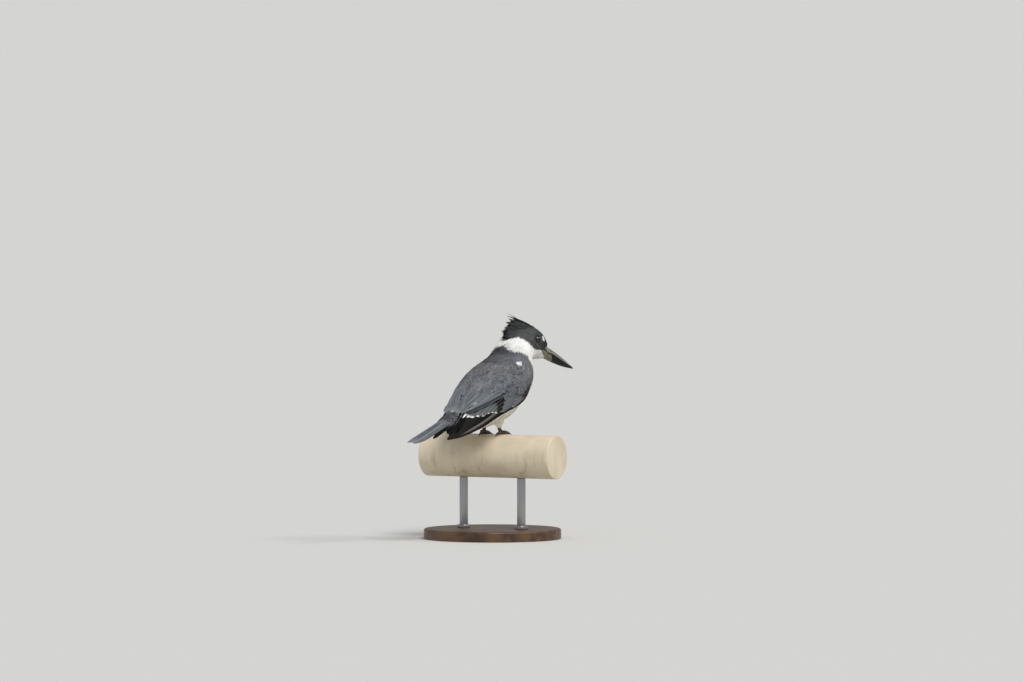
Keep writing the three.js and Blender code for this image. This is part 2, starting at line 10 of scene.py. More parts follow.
# %% Load the solids and keep their box
import math
import bpy
import numpy as np
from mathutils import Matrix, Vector


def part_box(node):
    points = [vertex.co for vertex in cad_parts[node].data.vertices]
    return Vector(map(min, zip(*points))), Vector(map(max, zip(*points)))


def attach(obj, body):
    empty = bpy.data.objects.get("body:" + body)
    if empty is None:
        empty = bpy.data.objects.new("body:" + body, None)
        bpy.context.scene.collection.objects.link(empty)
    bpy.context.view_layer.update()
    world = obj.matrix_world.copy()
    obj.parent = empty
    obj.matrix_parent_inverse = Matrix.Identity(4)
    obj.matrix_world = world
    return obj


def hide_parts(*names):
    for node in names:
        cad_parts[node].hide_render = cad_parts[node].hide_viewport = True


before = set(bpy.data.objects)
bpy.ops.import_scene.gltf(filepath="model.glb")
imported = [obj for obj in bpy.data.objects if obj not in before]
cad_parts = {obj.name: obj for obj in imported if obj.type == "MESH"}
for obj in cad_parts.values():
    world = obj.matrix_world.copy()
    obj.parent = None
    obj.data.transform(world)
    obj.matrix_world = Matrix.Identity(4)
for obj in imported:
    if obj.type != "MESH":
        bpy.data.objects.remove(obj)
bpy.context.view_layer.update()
print("solids:", sorted(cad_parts))

# %% [markdown]
# ## Places on the bird
# A maker thinks in "forward, to the bird's right, up" from the spot where it stands, in
# millimetres. One helper turns that into the frame's metres, so that every number below can be
# checked with a ruler on the model. The bird faces -Y and its right side is towards -X.

# %% Frame of the bird
MM = 0.001
PERCH_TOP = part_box("perch")[1].z


def at(forward, right, up):
    """Metres in the frame for a place told in mm: (-right, -forward, rail top + up)."""
    return np.stack(np.broadcast_arrays(-right * MM, -forward * MM, PERCH_TOP + up * MM), -1)


def unit(vectors):
    """Vectors divided by their own length."""
    return vectors / np.maximum(np.linalg.norm(vectors, axis=-1, keepdims=True), 1e-12)


def smooth(x, low, high):
    """0 below low, 1 above high, and 3k^2 - 2k^3 between, where k is the share of the way."""
    k = np.clip((x - low) / (high - low), 0, 1)
    return k * k * (3 - 2 * k)


def cubic(a, b, c, d, k):
    """Catmull-Rom: the smooth curve from b at k = 0 to c at k = 1, aimed by a before and d after."""
    return b + 0.5 * k * (c - a + k * (2 * a - 5 * b + 4 * c - d + k * (3 * (b - c) + d - a)))


def lengthened(rows):
    """Rows with one more at each end, in line with the last two."""
    return np.concatenate([2 * rows[:1] - rows[1:2], rows, 2 * rows[-1:] - rows[-2:-1]])


def spline(stations, t):
    """Smooth curve through evenly numbered stations, read at t from 0 to 1."""
    rows = np.asarray(stations, float)
    place = np.clip(np.asarray(t, float), 0, 1) * (len(rows) - 1)
    i = np.minimum(place.astype(int), len(rows) - 2)
    k = (place - i).reshape(place.shape + (1,) * (rows.ndim - 1))
    padded = lengthened(rows)
    return cubic(*(padded[i + n] for n in range(4)), k)


print("rail top at", round(PERCH_TOP, 4), "m")

# %% [markdown]
# ## The body as one surface
# Head, neck and trunk are one smooth form. Slices run from the base of the bill to the root of the
# tail; each is an oval between a point on the back line and a point on the breast and belly line.
# u says how far along the bird a place is (0 at the bill, 1 at the tail), and v how far round it
# (0 on the back, 0.25 on the right side, 0.5 on the belly, 0.75 on the left side).
# A formula is better than a sculpt here, because skin, coat and markings can all ask it where
# they are and which way the feathers lie.

# %% Body surface
BODY_FULLNESS = 0.9
SAFE_ENDS = (2e-3, 1 - 2e-3)  # slopes are taken between these, because slices close in at the ends
BODY_STATIONS = np.array([
    # back f, back z, belly f, belly z, half width, height of the widest level
    [87.5, 99.5, 85.5, 87.0, 6.2, 0.0],        # bill base
    [83.0, 108.5, 77.0, 85.5, 10.5, -0.08],    # lores
    [73.0, 118.5, 67.5, 85.5, 14.8, -0.1],     # eye
    [57.5, 124.0, 60.0, 85.0, 18.5, -0.12],    # ear
    [40.0, 121.5, 53.5, 83.5, 21.5, -0.1],     # nape
    [23.5, 111.5, 50.5, 78.5, 24.8, -0.02],    # collar
    [16.5, 98.5, 52.5, 70.0, 26.4, 0.0],       # neck
    [1.5, 87.5, 52.2, 58.5, 31.2, 0.06],       # mantle
    [-15.0, 79.0, 46.0, 45.0, 33.4, 0.08],     # shoulder
    [-30.0, 68.0, 33.5, 32.0, 33.0, 0.08],     # breast
    [-41.5, 53.0, 19.0, 20.5, 31.5, 0.06],     # back
    [-51.5, 40.0, 0.0, 13.0, 28.0, 0.04],      # belly
    [-62.0, 31.0, -22.0, 7.5, 23.0, -0.04],    # rump
    [-74.0, 24.0, -45.0, 3.5, 17.0, -0.08],    # vent
    [-85.0, 17.5, -66.0, 3.5, 10.5, 0.0],      # under the tail
    [-93.0, 11.5, -84.0, 5.0, 5.5, 0.0],       # tail root
])


def body(u, v, grow=0.0):
    """Slice u is the oval middle + reach to the side + level towards the back, where
    reach = half width * sin^0.9 * (1 + height * cos) and level = half the depth * cos of the
    angle 2*pi*v; grow widens it all round, in mm."""
    inside = np.clip(u, 0, 1)
    back_f, back_z, belly_f, belly_z, half, high = np.moveaxis(spline(BODY_STATIONS, inside), -1, 0)
    angle = 2 * np.pi * v
    depth = np.hypot(back_f - belly_f, back_z - belly_z) / 2
    level = (depth + grow) / depth * np.cos(angle)
    swing = np.sin(angle)
    reach = (half + grow) * np.sign(swing) * np.abs(swing) ** BODY_FULLNESS
    forward = (back_f + belly_f) / 2 + level * (back_f - belly_f) / 2
    up = (back_z + belly_z) / 2 + level * (back_z - belly_z) / 2
    return at(forward, reach * (1 + high * np.cos(angle)), up)


def slopes(surface, u, v, step=1e-3):
    """The two tangents of a surface, as differences over a small step each way."""
    low_u, high_u = np.clip(u - step, 0, 1), np.clip(u + step, 0, 1)
    along = (surface(high_u, v) - surface(low_u, v)) / (high_u - low_u)[..., None]
    across = (surface(u, v + step) - surface(u, v - step)) / (2 * step)
    return along, across


def outward(surface, u, v):
    """Unit normal: along x across, which points out of the bird on every surface here."""
    return unit(np.cross(*slopes(surface, np.clip(u, *SAFE_ENDS), v)))


print("body girth at the shoulder:", round(2 * BODY_STATIONS[8, 4]), "mm wide")

# %% [markdown]
# ## The folded wing and the cloak of small feathers
# Two edges carry the folded wing: the leading edge, down the side of the breast and back to the
# tip, and the inner edge along the back. The wing arches outwards between them. s runs along the
# wing from its bend to its tip, and p across it, from 0 at the inner edge to 1 at the leading edge.
# On a live bird no seam shows between wing and back, because shoulder feathers lie over both. So a
# second surface, the cloak, is stretched over the outermost of body and wing, from the middle of
# the back (q = 0) to the leading edge (q = 1), and the small feathers are laid on that.

# %% Wing surface
LEADING_EDGE = np.array([
    [34, 27.0, 75], [30.5, 31.0, 58], [21, 32.5, 42.5], [5, 31.5, 32],
    [-18, 30.0, 23], [-42, 26.5, 10.5], [-65, 20.5, 1.0], [-87, 12.5, -3.5],
])
INNER_EDGE = np.array([
    [27, 22.0, 83], [9, 19.0, 83], [-10, 15.0, 79], [-27, 11.5, 70],
    [-41, 10.0, 55.5], [-52, 10.0, 41.5], [-62, 13.0, 28], [-86, 11.5, -1.5],
])
WING_BULGE = [3.5, 9.5, 14.5, 15.5, 12.0, 7.5, 3.0, 0.4]
WING_STEP = 0.02
EDGE_ARCH = 0.85


def wing(s, p):
    """Straight from inner edge to leading edge at s, pushed out by bulge(s) * sin(pi*(1-p)^0.85)."""
    s, p = np.broadcast_arrays(np.asarray(s, float), np.asarray(p, float))
    low, high = spline(LEADING_EDGE, s), spline(INNER_EDGE, s)
    ahead, behind = np.clip(s + WING_STEP, 0, 1), np.clip(s - WING_STEP, 0, 1)
    run = spline(LEADING_EDGE + INNER_EDGE, ahead) - spline(LEADING_EDGE + INNER_EDGE, behind)
    out = unit(np.cross(high - low, run))
    out = out * np.sign(out[..., 1:2])
    share = np.clip(1 - p, 0, 1)
    arch = spline(WING_BULGE, s) * np.sin(np.pi * share ** EDGE_ARCH)
    place = low + (high - low) * (1 - p)[..., None] + out * arch[..., None]
    return at(*np.moveaxis(place, -1, 0))


wing_length = np.linalg.norm(wing(1, 0.5) - wing(0, 0.5))
print("folded wing:", round(wing_length / MM), "mm from bend to tip")


# %% Cloak surface: the outermost of body and wing
CLOAK_ALONG = 21
CLOAK_ACROSS = 7
SEARCH_GRID = (161, 101)
WING_HALF_THICK = 2.3
BACK_LINE = [0.42, 0.45, 0.48, 0.53, 0.58, 0.62, 0.67, 0.72, 0.77, 0.85, 0.95]


def nearest_on_body(places):
    """For each place, the (u, v) of the closest point of the body's right half, from a fine grid."""
    along, across = np.linspace(0, 1, SEARCH_GRID[0]), np.linspace(0, 0.5, SEARCH_GRID[1])
    grid_u, grid_v = np.meshgrid(along, across, indexing="ij")
    cloud = body(grid_u, grid_v).reshape(-1, 3)
    near = np.array([np.argmin(((cloud - place) ** 2).sum(1)) for place in places.reshape(-1, 3)])
    return tuple(grid.ravel()[near].reshape(places.shape[:-1]) for grid in (grid_u, grid_v))


def evened(net):
    """The same rows with their places moved along the row until they are evenly spaced."""
    gaps = np.linalg.norm(np.diff(net, axis=1), axis=-1)
    passed = np.concatenate([0 * gaps[:, :1], np.cumsum(gaps, axis=1)], axis=1)
    even = np.linspace(0, 1, net.shape[1])
    rows = [
        [np.interp(even * way[-1], way, row[:, axis]) for axis in range(3)]
        for way, row in zip(passed, net)
    ]
    return np.moveaxis(np.array(rows), 1, 2)


def cloak_net():
    """Net of places over back and wing: on the wing, body + normal * max(wing height + half its
    thickness, 0), softened; on the middle of the back, the body itself."""
    s = np.linspace(0, 1, CLOAK_ALONG)[:, None]
    p = np.linspace(0, 1, CLOAK_ACROSS - 1)[None, :]
    middle = wing(s, p)
    u, v = nearest_on_body(middle)
    foot, up = body(u, v), outward(body, u, v)
    height = ((middle - foot) * up).sum(-1) / MM
    edge = 0.35 + 0.65 * np.sqrt(np.sin(np.pi * p))
    raised = height + WING_HALF_THICK * edge
    lift = 0.5 * (raised + np.sqrt(raised ** 2 + 1.0))
    over_wing = middle + up * ((lift - height) * MM)[..., None]
    spine = body(spline(BACK_LINE, s), 0.0 * s)
    net = np.concatenate([spine, over_wing], axis=1)
    return net + (evened(net) - net) * smooth(s, 0.22, 0.1)[..., None]


CLOAK_NET = cloak_net()


def cloak(s, q):
    """The net read as a smooth surface: splines along the bird, then one spline across."""
    s, q = np.broadcast_arrays(np.asarray(s, float), np.asarray(q, float))
    ribs = lengthened(np.moveaxis(spline(CLOAK_NET, s.ravel()), 1, 0))
    place = np.clip(q.ravel(), 0, 1) * (CLOAK_ACROSS - 1)
    i = np.minimum(place.astype(int), CLOAK_ACROSS - 2)
    each = np.arange(len(i))
    across = cubic(*(ribs[i + n, each] for n in range(4)), (place - i)[:, None])
    return across.reshape(s.shape + (3,))


print("cloak net:", CLOAK_NET.shape)

# %% [markdown]
# ## A small kit for materials
# Shader nodes are arithmetic, so it is easier to read them as arithmetic. Number wraps the output
# of a node and gives it +, -, * and abs, Nodes makes any node of a tree, and Finish is a material.
# Colours go through Mix and Vector Math only, because a Math node would turn them grey.

# %% Shader kit
class Number:
    """A number that varies over a surface, so that shader maths reads as an expression."""

    def __init__(self, nodes, socket):
        self.nodes = nodes
        self.socket = socket

    def math(self, operation, *values):
        """One Math node on this number and others."""
        return self.nodes.node("ShaderNodeMath", {"operation": operation}, dict(enumerate(values)))

    def __add__(self, other):
        return self.math("ADD", self, other)

    def __sub__(self, other):
        return self.math("SUBTRACT", self, other)

    def __rsub__(self, other):
        return self.math("SUBTRACT", other, self)

    def __mul__(self, other):
        return self.math("MULTIPLY", self, other)

    def __abs__(self):
        return self.math("ABSOLUTE", self)

    def larger(self, other):
        """The larger of two numbers."""
        return self.math("MAXIMUM", self, other)

    def smooth(self, low, high):
        """0 at low, 1 at high, with a soft start and end; low may be the larger."""
        settings = {"interpolation_type": "SMOOTHSTEP"}
        return self.nodes.node("ShaderNodeMapRange", settings, {0: self, 1: low, 2: high})

    __radd__ = __add__
    __rmul__ = __mul__


class Nodes:
    """The nodes of one tree, each made and joined by a single method."""

    def __init__(self, tree):
        self.tree = tree

    def node(self, kind, settings=None, values=None, out=0):
        """Any node: its type, its settings, then a value or a link for each named socket."""
        node = self.tree.nodes.new(kind)
        for setting, value in (settings or {}).items():
            setattr(node, setting, value)
        for socket, value in (values or {}).items():
            if isinstance(value, Number):
                self.tree.links.new(value.socket, node.inputs[socket])
            else:
                node.inputs[socket].default_value = value
        return Number(self, node.outputs[out])


class Finish(Nodes):
    """One material: a Principled shader and the nodes that feed it."""

    def __init__(self, name, **constants):
        self.material = bpy.data.materials.new(name)
        self.material.use_nodes = True
        super().__init__(self.material.node_tree)
        self.shader = self.tree.nodes["Principled BSDF"]
        for socket, value in constants.items():
            self.shader.inputs[socket.replace("_", " ")].default_value = value

    def feed(self, socket, value):
        """Join a varying value to one socket of the shader."""
        self.tree.links.new(value.socket, self.shader.inputs[socket])

    def place(self):
        """Where a point lies in metres, which is the same on every piece here."""
        return self.node("ShaderNodeTexCoord", out="Object")

    def attribute(self, name):
        """A colour that the mesh carries point by point."""
        return self.node("ShaderNodeAttribute", {"attribute_name": name}, out="Color")

    def parts(self, vector):
        """The three numbers of a vector or colour."""
        split = self.node("ShaderNodeSeparateXYZ", None, {0: vector}).socket.node
        return [Number(self, socket) for socket in split.outputs]

    def mix(self, factor, first, second):
        """A colour between two colours, by a factor from 0 to 1."""
        values = {0: factor, 6: first, 7: second}
        return self.node("ShaderNodeMix", {"data_type": "RGBA"}, values, out=2)

    def scaled(self, colour, factor):
        """A colour made darker or lighter by a number."""
        return self.node("ShaderNodeVectorMath", {"operation": "SCALE"}, {0: colour, "Scale": factor})

    def noise(self, place, scale, detail=3.0, stretch=(1, 1, 1)):
        """Soft random number from 0 to 1, of that many spots to a unit, stretched if need be."""
        squeezed = self.node("ShaderNodeMapping", None, {0: place, "Scale": stretch})
        values = {"Vector": squeezed, "Scale": scale, "Detail": detail}
        return self.node("ShaderNodeTexNoise", None, values)

    def bump(self, height, distance, strength=1.0):
        """Small relief that changes the light only: height from 0 to 1 over that distance in m."""
        values = {"Height": height, "Distance": distance, "Strength": strength}
        self.feed("Normal", self.node("ShaderNodeBump", None, values))


def ink(red, green, blue):
    """A colour named by its three screen values (0 to 255), as the linear light shaders use."""
    share = np.array([red, green, blue]) / 255
    linear = np.where(share <= 0.04045, share / 12.92, ((share + 0.055) / 1.055) ** 2.4)
    return (*linear.tolist(), 1.0)


def pigment(red, green, blue):
    """The same as an array of three, for colours that are worked out point by point."""
    return np.array(ink(red, green, blue)[:3])


print("white pigment 246, 245, 241 is", pigment(246, 245, 241).round(3))

# %% [markdown]
# ## Studio
# A long lens far away keeps the bird's outline nearly free of perspective. The floor is one wide
# pale disc that fills the view, the world gives an even light, and two broad lamps model the form:
# one high on the viewer's side, and a weaker one from the right for the light in the eye.

# %% Camera
VIEW_AZIMUTH = math.radians(225)
VIEW_ELEVATION = math.radians(2.5)
LENS = 400.0
VIEW_WIDTH = 1.193
AIM_RIGHT = 0.0227
AIM_ABOVE_FEET = 0.1083
view_right = Vector((math.cos(VIEW_AZIMUTH), math.sin(VIEW_AZIMUTH), 0))
view_back = Vector((
    math.sin(VIEW_AZIMUTH) * math.cos(VIEW_ELEVATION),
    -math.cos(VIEW_AZIMUTH) * math.cos(VIEW_ELEVATION),
    math.sin(VIEW_ELEVATION),
))
view_up = view_back.cross(view_right)

camera_data = bpy.data.cameras.new("camera")
camera_data.lens = LENS
camera_data.sensor_width = 36.0
camera_data.clip_end = 400.0
distance = VIEW_WIDTH * LENS / camera_data.sensor_width
feet = Vector((0, 0, PERCH_TOP))
target = feet + view_right * AIM_RIGHT + view_up * AIM_ABOVE_FEET
camera = bpy.data.objects.new("camera", camera_data)
camera.location = target + view_back * distance
camera.rotation_euler = view_back.to_track_quat("Z", "Y").to_euler()
bpy.context.scene.collection.objects.link(camera)
bpy.context.scene.camera = camera
bpy.context.scene.view_settings.view_transform = "Standard"
print("camera is", round(distance, 2), "m away")

# %% Lamps and world
LAMPS = {
    # how far to the viewer's right, towards the viewer and up, then strength and size in degrees
    "key lamp": (0.25, 0.55, 0.85, 1.9, 26),
    "side lamp": (0.85, -0.05, 0.75, 0.45, 9),
}
for name, (right, towards, up, strength, size) in LAMPS.items():
    direction = view_right * right + view_back * towards + Vector((0, 0, up))
    lamp_data = bpy.data.lights.new(name, "SUN")
    lamp_data.energy = strength
    lamp_data.angle = math.radians(size)
    lamp = bpy.data.objects.new(name, lamp_data)
    lamp.rotation_euler = direction.to_track_quat("Z", "Y").to_euler()
    bpy.context.scene.collection.objects.link(lamp)
    print(name, "of strength", strength)

AIR_LIGHT = 0.42
AIR_COLOUR = (0.96, 0.98, 1.0, 1)
FLOOR_SEEN = (214, 214, 212)


def studio_air():
    """Even light from all round. What the camera itself sees of it has the floor's own colour."""
    world = bpy.data.worlds.new("studio air")
    bpy.context.scene.world = world
    world.use_nodes = True
    world.node_tree.nodes.remove(world.node_tree.nodes["Background"])
    air = Nodes(world.node_tree)
    light = air.node("ShaderNodeBackground", None, {"Color": AIR_COLOUR, "Strength": AIR_LIGHT})
    seen = air.node("ShaderNodeBackground", None, {"Color": ink(*FLOOR_SEEN)})
    camera_ray = air.node("ShaderNodeLightPath", out="Is Camera Ray")
    choice = air.node("ShaderNodeMixShader", None, {0: camera_ray, 1: light, 2: seen})
    air.tree.links.new(choice.socket, air.tree.nodes["World Output"].inputs["Surface"])


studio_air()

# %% Floor
FLOOR_RADIUS = 90.0
FLOOR_SIDES = 96
FLOOR_COLOUR = ink(214, 213, 210)
floor_finish = Finish("pale floor", Roughness=0.9, Specular_IOR_Level=0.1, Base_Color=FLOOR_COLOUR)
floor_turn = np.linspace(0, 2 * np.pi, FLOOR_SIDES, endpoint=False)
floor_rim = FLOOR_RADIUS * np.stack([np.cos(floor_turn), np.sin(floor_turn), 0 * floor_turn], -1)
floor_mesh = bpy.data.meshes.new("floor")
floor_mesh.from_pydata(floor_rim.tolist(), [], [list(range(FLOOR_SIDES))])
floor_mesh.materials.append(floor_finish.material)
floor = bpy.data.objects.new("floor", floor_mesh)
bpy.context.scene.collection.objects.link(floor)
print("floor is", 2 * FLOOR_RADIUS, "m across")

# %% [markdown]
# ## Meshes from rings
# Nearly every piece is a row of closed rings joined by four-sided faces, with a cap at each end:
# the skin, a toe, a claw, and also a feather, whose ring is a thin lens. One function writes the
# faces for any number of such tubes at once, so ten thousand feathers are one array.

# %% Faces of tubes
def tube_faces(tubes, rings, around):
    """Corners and sizes of all faces: a band of quads between rings, and one cap at each end."""
    ring = np.arange(around)
    start = (np.arange(rings - 1) * around)[:, None]
    here, after = start + ring, start + (ring + 1) % around
    quads = np.stack([here, after, after + around, here + around], -1).reshape(-1)
    caps = np.concatenate([ring[::-1], ring + (rings - 1) * around])
    corners = np.concatenate([quads, caps])
    sizes = np.concatenate([np.full(len(quads) // 4, 4), [around, around]])
    offsets = (np.arange(tubes) * rings * around)[:, None]
    return (corners + offsets).ravel(), np.tile(sizes, tubes)


def joined_faces(shapes):
    """The faces of several sets of tubes, each told as (tubes, rings, around), in one mesh."""
    starts = np.cumsum([0] + [math.prod(shape) for shape in shapes])
    faces = [tube_faces(*shape) for shape in shapes]
    corners = np.concatenate([corners + start for (corners, _), start in zip(faces, starts)])
    return corners, np.concatenate([sizes for _, sizes in faces])


print("a closed tube of 3 rings of 8 points has", len(tube_faces(1, 3, 8)[1]), "faces")


# %% One piece of the model
def piece(
    name, points, corners, sizes, finish, replaced=(), maps=None, colours=None, crease=None,
):
    """One mesh object in the frame, with its maps and colours given point by point. crease
    numbers the points of each sharp line: an edge between two points of one number stays sharp."""
    mesh = bpy.data.meshes.new(name)
    mesh.vertices.add(len(points))
    mesh.vertices.foreach_set("co", np.ascontiguousarray(points, np.float32).ravel())
    mesh.loops.add(len(corners))
    mesh.loops.foreach_set("vertex_index", corners.astype(np.int32))
    mesh.polygons.add(len(sizes))
    starts = np.concatenate([[0], np.cumsum(sizes)[:-1]])
    mesh.polygons.foreach_set("loop_start", starts.astype(np.int32))
    mesh.update(calc_edges=True)
    for label, flat in (maps or {}).items():
        layer = mesh.uv_layers.new(name=label)
        layer.data.foreach_set("uv", flat[corners].astype(np.float32).ravel())
    for label, shade in (colours or {}).items():
        rgba = np.concatenate([shade, np.ones((len(shade), 4 - shade.shape[1]))], axis=1)
        layer = mesh.color_attributes.new(label, "FLOAT_COLOR", "POINT")
        layer.data.foreach_set("color", rgba.astype(np.float32).ravel())
    mesh.shade_smooth()
    if crease is not None:
        ends = np.empty(2 * len(mesh.edges), np.int32)
        mesh.edges.foreach_get("vertices", ends)
        first, second = crease[ends[0::2]], crease[ends[1::2]]
        sharp = mesh.attributes.new("sharp_edge", "BOOLEAN", "EDGE")
        sharp.data.foreach_set("value", (first == second) & (first > 0))
    mesh.materials.append(finish.material)
    made = bpy.data.objects.new(name, mesh)
    bpy.context.scene.collection.objects.link(made)
    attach(made, "root")
    if replaced:
        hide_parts(*replaced)
    print(f"{name}: {len(points)} points, {int((sizes - 2).sum())} triangles")
    return made


def tubes_piece(name, grids, finish, replaced=(), colours=()):
    """Several closed tubes of rings as one mesh, with a colour to each point if colours are given."""
    corners, sizes = joined_faces([(1, *grid.shape[:2]) for grid in grids])
    points = np.concatenate([grid.reshape(-1, 3) for grid in grids])
    shades = {"plumage": np.concatenate([shade.reshape(-1, 3) for shade in colours])} if colours else {}
    return piece(name, points, corners, sizes, finish, replaced, colours=shades)


# %% Tubes along a path
def tube(path, radii, rings, around, beside, swell=None):
    """Rings round a path, at the places path + radius(t) * swell(t) towards each angle round it."""
    t = np.linspace(0, 1, rings)
    centre = spline(path, t)
    along = unit(np.gradient(centre, axis=0))
    across = unit(np.cross(along, beside))
    over = np.cross(along, across)
    angle = np.linspace(0, 2 * np.pi, around, endpoint=False)
    radius = spline(radii, t)[:, None] * MM * np.ones(around)
    if swell is not None:
        radius = radius * swell(t[:, None])
    circle = np.cos(angle)[:, None] * across[:, None] + np.sin(angle)[:, None] * over[:, None]
    return centre[:, None] + radius[..., None] * circle


straight = tube([[0, 0, 0], [0, 0, 0.01]], [1.0, 1.0], 3, 8, (1, 0, 0))
print("a straight tube of 1 mm radius spans", np.ptp(straight[..., 0]).round(4), "m")

# %% [markdown]
# ## Where the colours lie
# A feather takes its ground colour from the place where its tip shows, so skin and coat ask the
# same function. The charcoal hood ends on a line over cheek and nape, the white collar on a second
# line, and the slate band of the breast on a third; a fourth bounds the bare wedge at the mouth.
# Each line is a spline round the body, from the back line to the belly line, that gives the u at
# which the marking ends.

# %% Palette
CHARCOAL = pigment(74, 75, 75)
CHEEK = pigment(62, 61, 61)
FOREHEAD = pigment(45, 45, 45)
WHITE = pigment(246, 245, 241)
CREAM = pigment(226, 219, 206)
SLATE = pigment(104, 106, 111)
SLATE_BLUE = pigment(101, 106, 112)
SECONDARY_GREY = pigment(94, 97, 98)
BAND = pigment(134, 130, 126)
DUSKY = pigment(112, 104, 102)
BLACK = pigment(14, 14, 13)
OFF_BLACK = pigment(40, 38, 36)
print("the hood reflects", CHARCOAL.mean().round(3), "of the light, the belly", WHITE.mean().round(3))

# %% Markings
HOOD_EDGE = [0.348, 0.330, 0.314, 0.307, 0.300, 0.288, 0.255, 0.08, 0.0, -0.05, -0.06]
COLLAR_EDGE = [0.386, 0.408, 0.409, 0.388, 0.381, 0.391, 0.402, 0.408, 0.412, 0.415, 0.416]
BAND_END = [0.52, 0.52, 0.52, 0.52, 0.52, 0.515, 0.505, 0.51, 0.52, 0.53, 0.535]
BARE_EDGE = [0.0, 0.0, 0.01, 0.035, 0.064, 0.096, 0.13, 0.115, 0.04, 0.0, 0.0]
LORE_SPOT = {"f": 71.4, "z": 109.6, "wide": 3.4, "tall": 3.0}
SHOULDER_SPOT = {"f": 16.2, "z": 82.6, "wide": 3.8, "tall": 2.3}
SPOTS_OFF_MIDDLE = 4.0
LINE_SOFTNESS = 0.004


def round_share(v):
    """How far from the back line, 0 to 1 at the belly line, the same on both sides."""
    return 2 * np.minimum(v % 1.0, 1.0 - v % 1.0)


def spot(places, mark):
    """True inside an upright or lying oval told in mm, on both sides of the bird."""
    forward, up = -places[..., 1] / MM, (places[..., 2] - PERCH_TOP) / MM
    reach = ((forward - mark["f"]) / mark["wide"]) ** 2 + ((up - mark["z"]) / mark["tall"]) ** 2
    return (reach < 1) & (np.abs(places[..., 0]) / MM > SPOTS_OFF_MIDDLE)


def marked(places):
    """True on the white spot before the eye and on the white oval of the shoulder."""
    return spot(places, LORE_SPOT) | spot(places, SHOULDER_SPOT)


def spotted(paint, centre, around):
    """Feather colours, one to a feather, spread over its points and made white on the spots."""
    spread = np.broadcast_to(paint[:, None, None], centre.shape[:2] + (around, 3))
    return np.where(marked(centre)[:, :, None, None], WHITE, spread)


def blend(first, second, share):
    """Colour between two colours, point by point."""
    return first + (second - first) * share[..., None]


def shaded(ground, *layers):
    """A ground colour with others laid over it, told as colour, share, colour, share and so on."""
    for colour, share in zip(layers[0::2], layers[1::2]):
        ground = blend(ground, colour, share)
    return ground


def body_colour(u, v, spots=True):
    """Ground colour of the coat at (u, v) on the body, with a painted shadow at the tail's root, with
    or without the small white spots.
    """
    share = round_share(v)
    hood, collar, band = (spline(line, share) for line in (HOOD_EDGE, COLLAR_EDGE, BAND_END))
    places = body(u, v)
    breast = shaded(
        SLATE + 0 * places,
        BAND, smooth(share, 0.45, 0.7),
        CREAM, 0.12 * smooth(share, 0.6, 1.0),
    )
    belly = blend(WHITE + 0 * places, CREAM, smooth(u, 0.5, 0.8))
    # painted shadow: a dark band across the upper rump at the tail's root, where the tertials shade it
    painted_shadow_at_tail_root = smooth(u, 0.83, 0.85) * smooth(u, 0.93, 0.90) * smooth(share, 0.5, 0.4)
    colour = shaded(
        CHARCOAL + 0 * places,
        CHEEK, smooth(share, 0.3, 0.5),
        FOREHEAD, smooth(u, 0.22, 0.10),
        WHITE, smooth(u, hood - LINE_SOFTNESS, hood + LINE_SOFTNESS),
        breast, smooth(u, collar - LINE_SOFTNESS, collar + LINE_SOFTNESS),
        belly, smooth(u, band - 0.01, band + 0.01) * smooth(share, 0.42, 0.5),
        OFF_BLACK, 0.7 * painted_shadow_at_tail_root,
    )
    return np.where(marked(places)[..., None] & spots, WHITE, colour)


def bare(u, v):
    """True where horn shows instead of feathers: a wedge that ends at the mouth's corner."""
    return u < spline(BARE_EDGE, round_share(v))


print("white collar starts at u =", HOOD_EDGE[0], "on the nape")

# %% [markdown]
# ## Skin
# The skin stands for head, neck, trunk and thighs in one piece, so no seam can show. It lies inside
# the solids by the depth of the coat: about a millimetre on the face, two and a half on the trunk,
# and more at the front, where the horn of the bill lies over it. The feathers hide nearly all of
# it; where they part, the same markings show through.

# %% Skin
COAT_DEPTH = [3.2, 1.0, 0.9, 1.2, 1.5, 1.8, 2.0, 2.3, 2.5, 2.5, 2.5, 2.4, 2.3, 2.0, 1.8, 1.5]
SKIN_RINGS = 150
SKIN_AROUND = 120
skin_finish = Finish("feathered skin", Roughness=0.9)
skin_finish.feed("Base Color", skin_finish.scaled(skin_finish.attribute("plumage"), 0.8))


def path_of(*rows):
    """A path told in mm as (forward, right, up) rows."""
    return at(*np.array(rows, float).T)


FOOT_SIDE = 12.5
THIGH_RADII = [9.0, 5.6, 2.4]
LIMB_SIDE = np.array([0.0, 1.0, 0.2])
SIDES = ((1, "right"), (-1, "left"))


def thigh_path(side):
    """From inside the belly to the heel."""
    foot = side * FOOT_SIDE
    return path_of([-5, foot - 0.5 * side, 24], [-2.5, foot, 14], [-1.5, foot, 9.8])


def skin():
    """Body rings from bill to tail, and a tapering limb of skin for each thigh, as one mesh."""
    u = np.linspace(0, 1, SKIN_RINGS)[:, None]
    v = np.linspace(0, 1, SKIN_AROUND, endpoint=False)[None, :]
    thighs = [tube(thigh_path(side), THIGH_RADII, 20, 24, LIMB_SIDE) for side, _ in SIDES]
    grids = [body(u, v, -spline(COAT_DEPTH, u)), *thighs]
    grounds = [body_colour(u + 0 * v, v + 0 * u), *(CREAM + 0 * thigh for thigh in thighs)]
    nodes = ("head", "neck", "trunk", "thigh_right", "thigh_left")
    return tubes_piece("skin", grids, skin_finish, nodes, grounds)


skin()

# %% [markdown]
# ## One feather
# A feather is a thin lens carried along a path: its top bows a little from rim to shaft, and its
# underside meets the top in a sharp rim, so that light catches each edge as it does on a real vane.
# A batch of feathers is a set of arrays, one row to a feather, and every batch carries two maps:
# "vane" (how far along, how far across) for shaft and fringe, and "barb" in centimetres along the
# barbs, which leave the shaft at a slant. The OFBake map holds one tiny patch for each feather, at
# its root's place on the unrolled skin.

